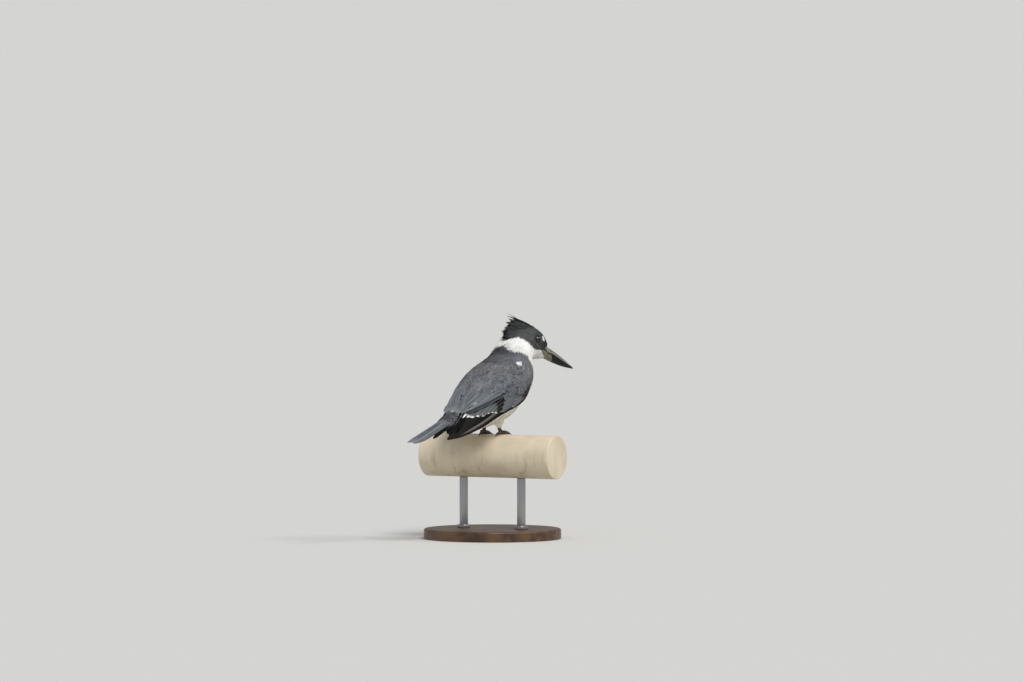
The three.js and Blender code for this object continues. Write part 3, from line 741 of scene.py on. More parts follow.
# %% Outlines of feathers
def steps(stations):
    """Shares along a feather, from 0 to 1 as 1 - (1 - k)^1.7, so that rings crowd at the tip."""
    return 1 - (1 - np.linspace(0, 1, stations)) ** 1.7


def round_end(a, blunt):
    """1 as far as blunt, then a quarter of an ellipse that closes at the tip."""
    return np.sqrt(np.clip(1 - (np.clip(a - blunt, 0, 1) / (1 - blunt)) ** 2, 0, 1))


def contour_width(a, blunt=0.62):
    """Outline of a body feather: widens quickly from the root, then closes in a round tip."""
    opening = np.clip(a / 0.3, 0, 1) ** 0.7 * 0.85 + 0.15
    return np.maximum(opening * round_end(a, blunt), 0.06)


def pointed_width(a):
    """Outline of a small soft feather, narrowing from before its middle to a fine tip."""
    return contour_width(a, 0.4)


def lance_width(a):
    """Outline of a narrow pointed feather: sin(pi * a^0.75)^0.65, widest before its middle."""
    return np.maximum(np.sin(np.pi * a ** 0.75) ** 0.65, 0.07)


def quill_width(a):
    """Outline of a flight feather: even along most of its length, rounded at the very end."""
    opening = 0.25 + 0.75 * smooth(a, 0.0, 0.22)
    return np.maximum(opening * round_end(a, 0.86), 0.05)


print("half way along, a lance still has", lance_width(0.5).round(2), "of its width")


# %% Feathers on a surface
def laid(surface, u, v, length, turn, lifts, stations):
    """Paths of feathers on a surface: from root (u, v), length mm at an angle to the u lines, and
    rising as a^0.8 from the first lift to the second, in mm along the normal."""
    a = steps(stations)
    along, across = slopes(surface, np.clip(u, *SAFE_ENDS), v)
    run_u = length * MM * np.cos(turn) / np.linalg.norm(along, axis=-1)
    run_v = length * MM * np.sin(turn) / np.linalg.norm(across, axis=-1)
    path_u = u[:, None] + run_u[:, None] * a
    path_v = v[:, None] + run_v[:, None] * a
    up = outward(surface, path_u, path_v)
    rise = lifts[0] + (lifts[1] - lifts[0]) * a ** 0.8
    over = np.clip(path_u - 1, 0, None)[..., None] * along[:, None]
    return surface(path_u, path_v) + over + up * (rise * MM)[..., None], up


print("feather paths run from root to tip in", steps(6).round(2))


# %% Feathers as arrays of points
PATCH = 0.003


def vane_points(centre, up, half, b, rng, tilt, bow, thick, ragged):
    """Across each ring, from b = -1 to 1, the top is centre + half*b*side +
    half*(bow*(1 - b^2) - tilt*b)*up; one point lies thick mm below, and the rims are frayed."""
    count, stations = half.shape
    a = steps(stations)
    along = np.gradient(centre, axis=1)
    side = unit(np.cross(along, up))
    up = unit(np.cross(side, along))
    wide = half[..., None] * MM
    outer = np.abs(b) * a[:, None]
    frayed = 1 + ragged * rng.uniform(-1, 1, (count, stations, len(b))) * outer
    reach = wide * b * frayed
    rise = wide * (bow * (1 - b ** 2) - tilt * b)
    notch = wide * 2 * ragged * rng.uniform(0, 1, frayed.shape) * np.abs(b) * a[:, None] ** 3
    top = centre[:, :, None] + side[:, :, None] * reach[..., None] + up[:, :, None] * rise[..., None]
    top = top - unit(along)[:, :, None] * notch[..., None]
    ends = np.sin(np.pi * np.clip(a, 0.04, 0.97)) ** 0.4
    under = centre + up * ((half * bow - thick * ends) * MM)[..., None]
    return np.concatenate([top, under[:, :, None]], axis=2)


def feathers(
    centre, up, half, paint, pattern, home, rng,
    across=5, tilt=0.0, bow=0.1, thick=0.22, ragged=0.1,
):
    """A batch of feathers: rings of points along the paths, their two maps, their patch of the
    OFBake map at home, and their colours."""
    count, stations = half.shape
    b = np.linspace(-1, 1, across)
    points = vane_points(centre, up, half, b, rng, tilt, bow, thick, ragged)
    vane_a = np.broadcast_to(steps(stations)[:, None], (stations, across + 1))
    vane_b = np.broadcast_to(np.append(b, 0.0), (stations, across + 1))
    vane = np.broadcast_to(np.stack([vane_a, 0.5 + 0.5 * vane_b], -1), points.shape[:-1] + (2,))
    run = np.linalg.norm(np.diff(centre, axis=1), axis=-1).sum(1)[:, None, None] / MM
    width = half.max(1)[:, None, None]
    barb_along = 0.1 * (run * vane_a - 0.9 * width * np.abs(vane_b)) + rng.uniform(0, 50, (count, 1, 1))
    barb_across = 0.1 * width * vane_b + rng.uniform(0, 50, (count, 1, 1))
    wide = points.shape[:-1] + (3,)
    return {
        "points": points,
        "vane": vane,
        "barb": np.stack([barb_along, barb_across], -1),
        "patch": home[:, None, None] + PATCH * (vane - 0.5),
        "plumage": paint if paint.ndim == 4 else np.broadcast_to(paint.reshape(count, -1, 1, 3), wide),
        "pattern": np.broadcast_to(pattern.reshape(count, -1, 1, 3), wide),
    }


def mirrored(batch):
    """The same feathers on the bird's other side: x changes sign and each ring runs backwards."""
    across = batch["points"].shape[2] - 1
    order = list(range(across))[::-1] + [across]
    flipped = {label: part[:, :, order] for label, part in batch.items()}
    flipped["points"] = flipped["points"] * np.array([-1.0, 1.0, 1.0])
    flipped["patch"] = np.array([1.0, 0.0]) + flipped["patch"] * np.array([-1.0, 1.0])
    return flipped


def plumage_piece(name, batches, finish, replaced=()):
    """All batches of one region as one mesh, with a sharp line along both rims of each feather."""
    shapes = [batch["points"].shape[:3] for batch in batches]
    corners, sizes = joined_faces(shapes)
    crease = []
    for count, stations, around in shapes:
        rim = np.zeros(around, int)
        rim[0], rim[around - 2] = 1, 2
        crease.append(np.tile(rim, count * stations))
    flat = {
        label: np.concatenate([batch[label].reshape(-1, batch[label].shape[-1]) for batch in batches])
        for label in batches[0]
    }
    maps = {"vane": flat["vane"], "barb": flat["barb"], "OFBake": flat["patch"]}
    colours = {"plumage": flat["plumage"], "pattern": flat["pattern"]}
    return piece(
        name, flat["points"], corners, sizes, finish, replaced, maps, colours,
        np.concatenate(crease),
    )


print("each feather's patch on the OFBake map is", PATCH, "wide")

# %% [markdown]
# ## How a feather is coloured
# Over its ground colour a feather has a dark shaft line, a paler fringe, and sometimes a white tip.
# How strong each is comes with the feather (red, green and blue of "pattern"), so one finish serves
# a plain white belly feather and a streaked grey one. Fine barbs are a noise drawn out along them.

# %% Plumage finish
def plumage_finish(name, roughness=0.85, barb_depth=0.35, shaft_wide=0.12, pale=(0.62, 0.63, 0.64, 1)):
    """Ground colour with barbs, shaft streak, pale fringe, painted shade towards the root, where the
    feather above overlaps it, and a white tip, which reaches tip * (1 - 0.6 * off_shaft^2) of the
    length back from the end."""
    finish = Finish(name, Roughness=roughness, Specular_IOR_Level=0.16)
    along, across, _ = finish.parts(finish.node("ShaderNodeUVMap", {"uv_map": "vane"}))
    streak, fringe, tip = finish.parts(finish.attribute("pattern"))
    off_shaft = abs(across * 2 - 1)
    barb = finish.noise(finish.node("ShaderNodeUVMap", {"uv_map": "barb"}), 1.0, 2.0, (16, 1.6, 1))
    cloud = finish.noise(finish.place(), 160.0, 2.0)
    # the last factor is painted shade: each feather darker towards its root, under the one above
    shade = (1 - barb_depth * 0.5 + barb * barb_depth + (cloud - 0.5) * 0.5) * (along * 0.22 + 0.84)
    ground = finish.scaled(finish.attribute("plumage"), shade)
    shaft = off_shaft.smooth(shaft_wide, shaft_wide * 0.3) * along.smooth(1.0, 0.85) * streak
    darker = finish.mix(shaft, ground, finish.scaled(ground, 0.25))
    rim = off_shaft.smooth(0.55, 1.0).larger(along.smooth(0.84, 1.0)) * fringe
    paler = finish.mix(rim * (barb * 0.8 + 0.6), darker, pale)
    reach = tip * (1 - off_shaft * off_shaft * 0.6) - (1 - along) + (barb - 0.5) * tip * 0.5
    finish.feed("Base Color", finish.mix(reach.smooth(0.0, 0.006), paler, (*WHITE.tolist(), 1)))
    finish.bump(barb, 0.0004, 0.35)
    return finish


coat_finish = plumage_finish("small feathers")
soft_finish = plumage_finish("soft white feathers", roughness=0.9, barb_depth=0.2)
quill_finish = plumage_finish("quills", roughness=0.7, shaft_wide=0.08)
crest_finish = plumage_finish("crest feathers", roughness=0.9, shaft_wide=0.55, pale=(0.2, 0.2, 0.2, 1))
print("nodes in the finish of the small feathers:", len(coat_finish.tree.nodes))

# %% [markdown]
# ## Planting
# Feathers grow in rows, each root between two roots of the row in front. A formula can give that
# spacing on any surface: columns at even steps across it, and in each column the roots at steps
# measured in millimetres along the surface. Then every root is moved a little by chance, because
# perfectly even rows look knitted.

# %% Planting feathers
def planted(surface, along_span, across_span, columns, pitch, rng, jitter=0.28):
    """Roots in columns across a surface. Down each column they stand pitch(u) mm apart, measured
    along it; every second column is shifted by half a row, and each root strays a little."""
    u = np.linspace(*along_span, 260)
    v = across_span[0] + (across_span[1] - across_span[0]) * (np.arange(columns) + 0.5) / columns
    line = surface(u[:, None] + 0 * v, v[None, :] + 0 * u[:, None])
    step = np.linalg.norm(np.diff(line, axis=0), axis=-1) / MM
    passed = np.cumsum(step / pitch((u[1:] + u[:-1]) / 2)[:, None], axis=0)
    passed = np.concatenate([np.zeros((1, columns)), passed])
    wanted = np.arange(int(passed[-1].max()) + 1)[:, None] + 0.5 * (np.arange(columns) % 2)
    wanted = wanted + rng.uniform(-jitter, jitter, wanted.shape)
    root_u = np.stack([np.interp(wanted[:, j], passed[:, j], u) for j in range(columns)], axis=1)
    width = (across_span[1] - across_span[0]) / columns
    root_v = v + width * rng.uniform(-jitter, jitter, wanted.shape)
    kept = (wanted >= 0) & (wanted <= passed[-1])
    return root_u[kept], root_v[kept]


def unrolled(u, v):
    """Place of a root on the unrolled skin, both from 0 to 1."""
    return np.stack([0.02 + 0.96 * (v % 1.0), 0.02 + 0.96 * np.clip(u, 0, 1)], -1)


print("the middle of the back unrolls to", unrolled(np.array(0.5), np.array(0.0)))

# %% [markdown]
# ## Coat of head, neck, breast and belly
# The feathers are smallest round the bill and grow towards the belly, as on every bird, and each
# row covers the roots of the next. A feather that would lie over an eye is cut back to the rim.

# %% Keeping the eyes clear
EYE_RADIUS = 6.0
EYE_CLEAR = 6.2
EYE_CENTRE = at(59.1, 13.8, 108.2)
EYE_AXIS = unit(at(0.12, 0.95, 0.29) - at(0, 0, 0))
print("the eye looks along", EYE_AXIS.round(2))


def clear_of_eyes(u, v, length, turn, samples=14):
    """Share of each feather's length that lies farther than EYE_CLEAR from the eye's centre."""
    centre, _ = laid(body, u, v, length, turn, (0, 0), samples)
    right = centre * np.array([0, 1, 1]) - np.abs(centre) * np.array([1, 0, 0])
    covered = np.linalg.norm(right - EYE_CENTRE, axis=-1) < EYE_CLEAR * MM
    first = np.where(covered.any(1), covered.argmax(1), samples)
    return steps(samples)[np.maximum(first - 1, 0)]


RUFFLE = 4.2


def coat_lift(u, v, rng):
    """How far the tips stand off, in mm: hardly at all, but for a ruffle on the nape and loose
    feathers behind the collar, on the back and the upper sides."""
    share = round_share(v)
    loose = 1 + 4 * smooth(u, 0.385, 0.41) * smooth(share, 0.6, 0.3)
    ruffle = RUFFLE * smooth(share, 0.3, 0.1) * smooth(u, 0.31, 0.35) * smooth(u, 0.41, 0.37)
    return loose * rng.uniform(0.0, 0.22, len(u)) + ruffle * rng.uniform(0.6, 1.0, len(u))


def coat_paint(tip_u, v, rng):
    """The marking's colour where the tip shows, uneven from feather to feather, dark ones most."""
    paint = body_colour(np.clip(tip_u, 0, 1), v, spots=False)
    uneven = 0.05 + 0.17 * (1 - paint.mean(-1)) ** 4
    return paint * np.clip(1 + uneven * rng.normal(0, 1, len(v)), 0.5, 1.6)[:, None]


def grey_looks(u, share, rng):
    """Some shaft and fringe on grey feathers, next to none on white ones."""
    hood, collar, band = (spline(line, share) for line in (HOOD_EDGE, COLLAR_EDGE, BAND_END))
    grey = (u < hood) | ((u > collar) & ((u < band) | (share < 0.45)))
    streak = np.where(grey, rng.uniform(0, 1, len(u)) ** 1.5, 0.02)
    fringe = np.where(grey, rng.uniform(0, 0.25, len(u)), 0.0)
    return np.stack([streak, fringe, 0 * u], -1)


print("the nape is ruffled by up to", RUFFLE, "mm")


# %% Coat on the body
def body_coat(
    seed, span_u, span_v, columns, pitch, size, depth, stations=6, across=3, shape=pointed_width,
):
    """Feathers between two values of u and two of v. size(u) gives length and half width in mm,
    and depth how deep the roots lie, which is deeper where they meet the bill."""
    rng = np.random.default_rng(seed)
    u, v = planted(body, span_u, span_v, columns, pitch, rng)
    length, half = size(u)
    length = length * rng.uniform(0.85, 1.15, len(u))
    turn = rng.normal(0, 0.1, len(u))
    free = clear_of_eyes(u, v, length, turn)
    kept = (free > 0.35) & ~bare(u, v)
    u, v, length, half, turn, free = (part[kept] for part in (u, v, length, half, turn, free))
    length, half = length * free, half * (0.5 + 0.5 * free) * rng.uniform(0.9, 1.1, len(u))
    sunk = depth + 1.8 * smooth(u, 0.05, 0.0)
    lifts = (-sunk[:, None], coat_lift(u, v, rng)[:, None])
    centre, up = laid(body, u, v, length, turn, lifts, stations)
    tip_u = u + 0.85 * length * MM / np.linalg.norm(slopes(body, u, v)[0], axis=-1)
    paint = spotted(coat_paint(tip_u, v, rng), centre, across + 1)
    pattern = grey_looks(tip_u, round_share(v), rng)
    width = half[:, None] * shape(steps(stations))
    return feathers(centre, up, width, paint, pattern, unrolled(u, v), rng, across)


# %% Face and hood
face = body_coat(
    11, (0.012, 0.16), (0, 1), 88, lambda u: 0.85 + 4 * u,
    lambda u: (3.6 + 26 * u, 0.42 + 1.7 * u), 0.6, 5, shape=lance_width,
)
hood = body_coat(
    12, (0.14, 0.35), (0, 1), 120, lambda u: 1.15 + 1.0 * u,
    lambda u: (7.0 + 8 * u, 0.7 + 0.8 * u), 0.9, shape=lance_width,
)
plumage_piece("coat_face", [face], coat_finish)
plumage_piece("coat_hood", [hood], coat_finish)

# %% Collar and neck
collar = body_coat(
    13, (0.29, 0.47), (0, 1), 124, lambda u: 1.5 + 0 * u,
    lambda u: (9.5 + 0 * u, 0.95 + 1.5 * (u - 0.3)), 1.2, shape=lance_width,
)
plumage_piece("coat_neck", [collar], soft_finish)

# %% Breast, belly and vent
breast = body_coat(
    14, (0.43, 0.86), (0.235, 0.765), 70, lambda u: 2.2 + 0 * u,
    lambda u: (12 + 3 * u, 1.55 + 0.3 * u), 1.8, 7,
)
vent = body_coat(
    15, (0.8, 0.985), (0.2, 0.8), 36, lambda u: 3.0 + 0 * u,
    lambda u: (16 + 0 * u, 2.0 - 0.8 * (u - 0.8) / 0.2), 1.5, 7,
)
plumage_piece("coat_breast", [breast], soft_finish)
plumage_piece("coat_vent", [vent], soft_finish)

# %% Rump and upper tail coverts
rump = body_coat(
    16, (0.52, 0.985), (-0.24, 0.24), 42, lambda u: 3.0 + 0 * u,
    lambda u: (16 + 6 * (u - 0.6), 2.6 - 2.0 * (u - 0.6)), 1.6, 8, 5, contour_width,
)
plumage_piece("coat_rump", [rump], coat_finish)

# %% [markdown]
# ## Thighs
# A kingfisher's thighs are short cones of small white feathers that end at the heel. Their rows run
# round the limb, so they are planted by row and column along the limb's own line.

# %% Feathered thighs
THIGH_ROWS = 14
THIGH_COLUMNS = 22
THIGH_FLUFF = 0.8


def thigh_coat(side, seed, stations=6):
    """Small white feathers down a tapering thigh: rings of roots, each feather along the limb, its
    path the limb's line + its radius, and THIGH_FLUFF more at the tip, at an angle round it."""
    rng = np.random.default_rng(seed)
    row, turn = (part.ravel() for part in np.indices((THIGH_ROWS, THIGH_COLUMNS)))
    start = (row + rng.uniform(-0.2, 0.2, row.size)) / (THIGH_ROWS + 1.5)
    angle = 2 * np.pi * (turn + 0.5 * (row % 2)) / THIGH_COLUMNS + rng.normal(0, 0.1, row.size)
    a = steps(stations)
    t = np.clip(start[:, None] + 0.3 * a, 0, 1.08)
    inside = np.clip(t, 0, 1)
    path = thigh_path(side)
    along = unit(spline(path, np.clip(inside + 0.01, 0, 1)) - spline(path, inside - 0.02))
    across = unit(np.cross(along, LIMB_SIDE))
    up = np.cos(angle)[:, None, None] * across + np.sin(angle)[:, None, None] * np.cross(along, across)
    lift = (spline(np.array(THIGH_RADII) + THIGH_FLUFF, inside) - THIGH_FLUFF * (1 - a)) * MM
    centre = spline(path, inside) + up * lift[..., None] + along * ((t - inside) * 0.018)[..., None]
    half = 1.2 * pointed_width(a) * (1 - 0.45 * start[:, None])
    paint = CREAM * rng.normal(1, 0.04, len(start))[:, None]
    home = np.stack([0.05 + 0.4 * angle / (2 * np.pi) % 0.4 + 0.5 * (side < 0), 0.05 + 0.9 * start], -1)
    return feathers(centre, up, half, paint, np.zeros((len(start), 3)), home, rng, 3)


plumage_piece("coat_thighs", [thigh_coat(1, 17), thigh_coat(-1, 18)], soft_finish)

# %% [markdown]
# ## Back, scapulars and small wing coverts
# These lie on the cloak, so the seam between wing and body vanishes under them. They grow from the
# shoulder to the rump, and each has the fine dark shaft that gives the back its streaks. The white
# oval on the shoulder is one mark, shared with the skin by its place. The front edge of the wing
# is black from the bend downwards.

# %% Cloak colours
CLOAK_END = [0.66, 0.65, 0.60, 0.54, 0.47, 0.36, 0.33]
FRONT_EDGE_START = [1.04, 0.96, 0.855, 0.855, 0.90, 0.93]
FRONT_EDGE_SPAN = (0.08, 0.40)


def cloak_colour(s, q, rng):
    """Slate, bluer low on the wing and duskier on the upper back, black along the front edge."""
    dusky = 0.8 * smooth(q, 0.42, 0.1) * smooth(s, 0.6, 0.2) * rng.uniform(0.2, 1, s.shape)
    share = (s - FRONT_EDGE_SPAN[0]) / (FRONT_EDGE_SPAN[1] - FRONT_EDGE_SPAN[0])
    edge = np.where((share > 0) & (share < 1), spline(FRONT_EDGE_START, share), 2.0)
    edge = edge + rng.normal(0, 0.015, s.shape)
    ground = shaded(
        SLATE + 0 * s[..., None],
        SLATE_BLUE, smooth(s, 0.15, 0.6) * smooth(q, 0.15, 0.5),
        DUSKY, dusky,
        BAND, smooth(s, 0.14, 0.03) * smooth(q, 0.5, 0.8),
        BLACK, smooth(q, edge - 0.01, edge + 0.01),
    )
    # uneven from feather to feather, one in seven darker, a painted shade under the arch of the
    # shoulder, and a paler low back
    uneven = 0.13 + 0.12 * smooth(s, 0.32, 0.12)
    shade = np.clip(1 + uneven * rng.normal(0, 1, s.shape), 0.65, 1.5)
    shade = shade * np.where(rng.uniform(0, 1, s.shape) < 0.14, 0.68, 1.0)
    # painted shade: darker below the arch of the shoulder
    shade = shade * (1 - 0.14 * smooth(q, 0.3, 0.5) * smooth(q, 0.9, 0.75) * smooth(s, 0.08, 0.2))
    shade = shade * (1 + 0.35 * smooth(s, 0.45, 0.62) * smooth(q, 0.45, 0.25))
    return ground * shade[..., None]


print("the cloak's feathers end at s from", min(CLOAK_END), "to", max(CLOAK_END))


# %% Coat on the cloak
def cloak_coat(seed, stations=8):
    """Feathers of the right half: 9 mm long at the shoulder, 25 mm on the lower back."""
    rng = np.random.default_rng(seed)
    s, q = planted(cloak, (0.0, 0.66), (0.0, 1.0), 40, lambda s: 2.2 + 4.0 * s, rng, 0.24)
    length = (9.0 + 25 * s) * rng.uniform(0.85, 1.15, len(s))
    half = (1.7 + 3.4 * s) * rng.uniform(0.85, 1.15, len(s))
    turn = rng.normal(0, 0.11, len(s)) + 0.15 * smooth(q, 0.6, 0.2) * smooth(s, 0.6, 0.2)
    run = length * MM / np.linalg.norm(slopes(cloak, np.clip(s, 2e-3, 1), q)[0], axis=-1)
    kept = s + run < spline(CLOAK_END, q) + rng.normal(0, 0.012, len(s))
    s, q, length, half, turn, run = (part[kept] for part in (s, q, length, half, turn, run))
    sunk = smooth(s, 0.07, 0.0)[:, None]
    lifts = (-1.2 - 2.5 * sunk, rng.uniform(0.05, 0.35, len(s))[:, None] - 0.8 * sunk)
    centre, up = laid(cloak, s, q, length, turn, lifts, stations)
    paint = cloak_colour(s + 0.8 * run, q, rng)
    white = marked(centre).any(1)
    paint = spotted(paint, centre, 6)
    streak = np.where(white, 0.0, rng.uniform(0, 1, len(s)) ** 1.5)
    fringe = rng.uniform(0, 0.28, len(s)) * (1 - white)
    pattern = np.stack([streak, fringe, 0 * s], -1)
    width = half[:, None] * contour_width(steps(stations), 0.35)
    return feathers(centre, up, width, paint, pattern, unrolled(s, 0.5 * q), rng, bow=0.07, ragged=0.2)


plumage_piece("coat_back_right", [cloak_coat(21)], coat_finish)
plumage_piece("coat_back_left", [mirrored(cloak_coat(22))], coat_finish)

# %% [markdown]
# ## The tail's fan as a surface
# A closed tail is a long flat fan that droops a little to both sides. It is told here, before the
# quills, because a few dark feathers of the wing side lie beside its root.

# %% Tail surface
TAIL_ROOT = {"f": -44.0, "z": 32.5}
TAIL_TIP = {"f": -134.0, "z": -6.0}
TAIL_HALF = (10.0, 12.8)
TAIL_DROOP = 2.4


def tail(t, w):
    """Flat fan from root to tip, w from -1 at its left edge to 1 at its right, drooping as w^2."""
    t, w = np.broadcast_arrays(np.asarray(t, float), np.asarray(w, float))
    forward = TAIL_ROOT["f"] + (TAIL_TIP["f"] - TAIL_ROOT["f"]) * t
    up = TAIL_ROOT["z"] + (TAIL_TIP["z"] - TAIL_ROOT["z"]) * t
    half = TAIL_HALF[0] + (TAIL_HALF[1] - TAIL_HALF[0]) * t
    return at(forward, half * w, up - TAIL_DROOP * w ** 2)


tail_line = np.linalg.norm(tail(1, 0) - tail(0, 0))
print("the tail's middle line is", round(tail_line / MM), "mm long")

# %% [markdown]
# ## Quills of the wing
# Under the small feathers a folded wing is a hand of cards: ten primaries reach the tip, eight
# secondaries lie over them, then five broad tertials, and rows of coverts cover all the roots. A
# few dark inner primaries show beyond the tertials. A row of quills is told by where its first and
# last roots and tips lie on a surface and by its layer. Each quill is tipped a little, like a roof
# tile, so its outer rim rests on the next one down.

# %% One row of quills
QUILL_STATIONS = 24
QUILL_ACROSS = 7


def quill_row(
    surface, count, roots, tips, half, heights, seed, paint, looks,
    bow=0.0, tilt=0.12, shape=quill_width, slot=(0.0, 1.0), stations=QUILL_STATIONS,
):
    """count feathers whose (s, p) roots and tips follow splines through the rows given. Each path
    is straight between them but for bow * sin(pi a), and its height over the surface goes from
    the first to the second of heights, in mm. slot is the row's share of the OFBake map."""
    rng = np.random.default_rng(seed)
    k = np.linspace(0, 1, count)
    a = steps(stations)
    root = spline(roots, k) + rng.normal(0, 0.002, (count, 2))
    tip = spline(tips, k) + rng.normal(0, 0.004, (count, 2))
    path = root[:, None] + (tip - root)[:, None] * a[None, :, None]
    s = np.clip(path[..., 0], 0, 1)
    p = path[..., 1] + bow * np.sin(np.pi * a)
    up = outward(surface, s, p)
    low, high = np.moveaxis(spline(heights, k), -1, 0)
    height = low[:, None] + (high - low)[:, None] * a
    centre = surface(s, p) + up * (height * MM)[..., None]
    width = spline(half, k)[:, None] * shape(a)
    b = np.append(np.linspace(-1, 1, QUILL_ACROSS), 0.0)
    grid = np.broadcast_arrays(k[:, None, None], a[None, :, None], b[None, None, :])
    colours = paint(*grid) * rng.normal(1, 0.05, (count, 1, 1, 1))
    strip = slot[0] + (slot[1] - slot[0]) * (np.arange(count) + 0.5) / count
    home = np.stack([strip, 0 * strip], -1)
    batch = feathers(
        centre, up, width, colours, looks(k, rng), home, rng,
        across=QUILL_ACROSS, tilt=tilt, bow=0.07, thick=0.3, ragged=0.02,
    )
    lane = 0.86 * (slot[1] - slot[0]) / count
    over, along = batch["vane"][..., 1], batch["vane"][..., 0]
    batch["patch"] = np.stack([strip[:, None, None] + lane * (over - 0.5), 0.02 + 0.96 * along], -1)
    return batch


def plain_looks(streak, fringe, tip):
    """The same shaft, fringe and white tip on every quill of a row, with a little spread."""
    return lambda k, rng: np.stack([
        streak * rng.uniform(0.8, 1.0, len(k)), fringe * rng.uniform(0.6, 1.0, len(k)), tip + 0 * k,
    ], -1)


def end_looks(streak, fringe, tip):
    """The same, with a white tip on the first and the last quill of the row only."""
    return lambda k, rng: plain_looks(streak, fringe, tip)(k, rng) * np.stack([
        1 + 0 * k, 1 + 0 * k, (k < 0.01) | (k > 0.99),
    ], -1)


print("a quill is a grid of", QUILL_STATIONS, "by", QUILL_ACROSS + 1, "points")

# %% [markdown]
# ## How a quill is painted
# Each paint is a function of three shares: k, which quill of the row it is; a, how far along it; and
# b, from -1 at its outer rim to 1 at its inner one. So one formula paints a whole row, and a dark
# corner can grow from quill to quill.

# %% Paints of the wing's quills
def even(colour, k, a, b):
    """One colour for all points of a row."""
    return colour + 0 * (k + a + b)[..., None]


def secondary_paint(k, a, b):
    """Grey outer web, black inner web and a white corner at the tip. The outermost quill is black
    nearly to its tip, and each one farther in has less black."""
    black_until = 0.97 - k - 0.5 * smooth(k, 0.42, 0.56)
    corner = smooth(a, 0.935 - 0.06 * k ** 8, 0.95 - 0.06 * k ** 8) * smooth(b, 0.0, -0.15)
    return shaded(
        even(SECONDARY_GREY, k, a, b),
        BLACK, smooth(a, black_until, black_until - 0.05),
        WHITE, corner,
        BLACK, smooth(b, 0.4, 0.6),
    )


def primary_paint(k, a, b):
    """Black, with a greyer edge on the middle ones and a brownish bloom towards the tip."""
    edge = smooth(k, 0.45, 0.55) * smooth(k, 0.8, 0.7) * smooth(b, -0.3, -0.45) * smooth(a, 0.95, 0.7)
    return shaded(even(BLACK, k, a, b), OFF_BLACK, 0.35 * smooth(a, 0.4, 1.0), BAND, 0.8 * edge)


def covert_paint(k, a, b):
    """Blue-grey with a darker middle."""
    middle = smooth(np.abs(b), 0.5, 0.1) * smooth(a, 1.0, 0.75)
    return shaded(even(SLATE_BLUE, k, a, b), OFF_BLACK, 0.45 * middle)


def tertial_paint(k, a, b):
    """Slate-blue with one pale fleck. The lowest has a black outer rim, painted shadow, which draws the
    dark line of shade under the tertials along the folded wing."""
    # painted shadow: the black outer rim of the lowest tertial stands for the shade under the row
    rim = smooth(b, -0.3, -0.5) * smooth(k, 0.2, 0.1)
    fleck = (np.abs(k - 0.25) < 0.05) & (np.abs(a - 0.6) < 0.025) & (np.abs(b) < 0.35)
    return shaded(
        even(SLATE_BLUE * 1.26, k, a, b),
        SLATE * 1.15, smooth(b, -0.2, 0.8),
        BLACK, rim,
        WHITE, 0.7 * fleck,
    )


def dark_paint(k, a, b):
    """Black all over."""
    return even(BLACK, k, a, b)


middle_grey = secondary_paint(*np.full((3, 1), 0.5))
print("the middle of the wing's secondaries is", middle_grey.round(3))

# %% [markdown]
# ## Layers of the folded wing
# The rows are laid from the lowest to the highest. The four feathers beside the tail fill the gap
# between tail and rump, the inner primaries, tertials and coverts lie on the cloak or the wing, and
# the black feathers of the front edge come last. Under them all is a thin pad for hand and arm, with
# a pale lining, so that no light shows through the wing from below.

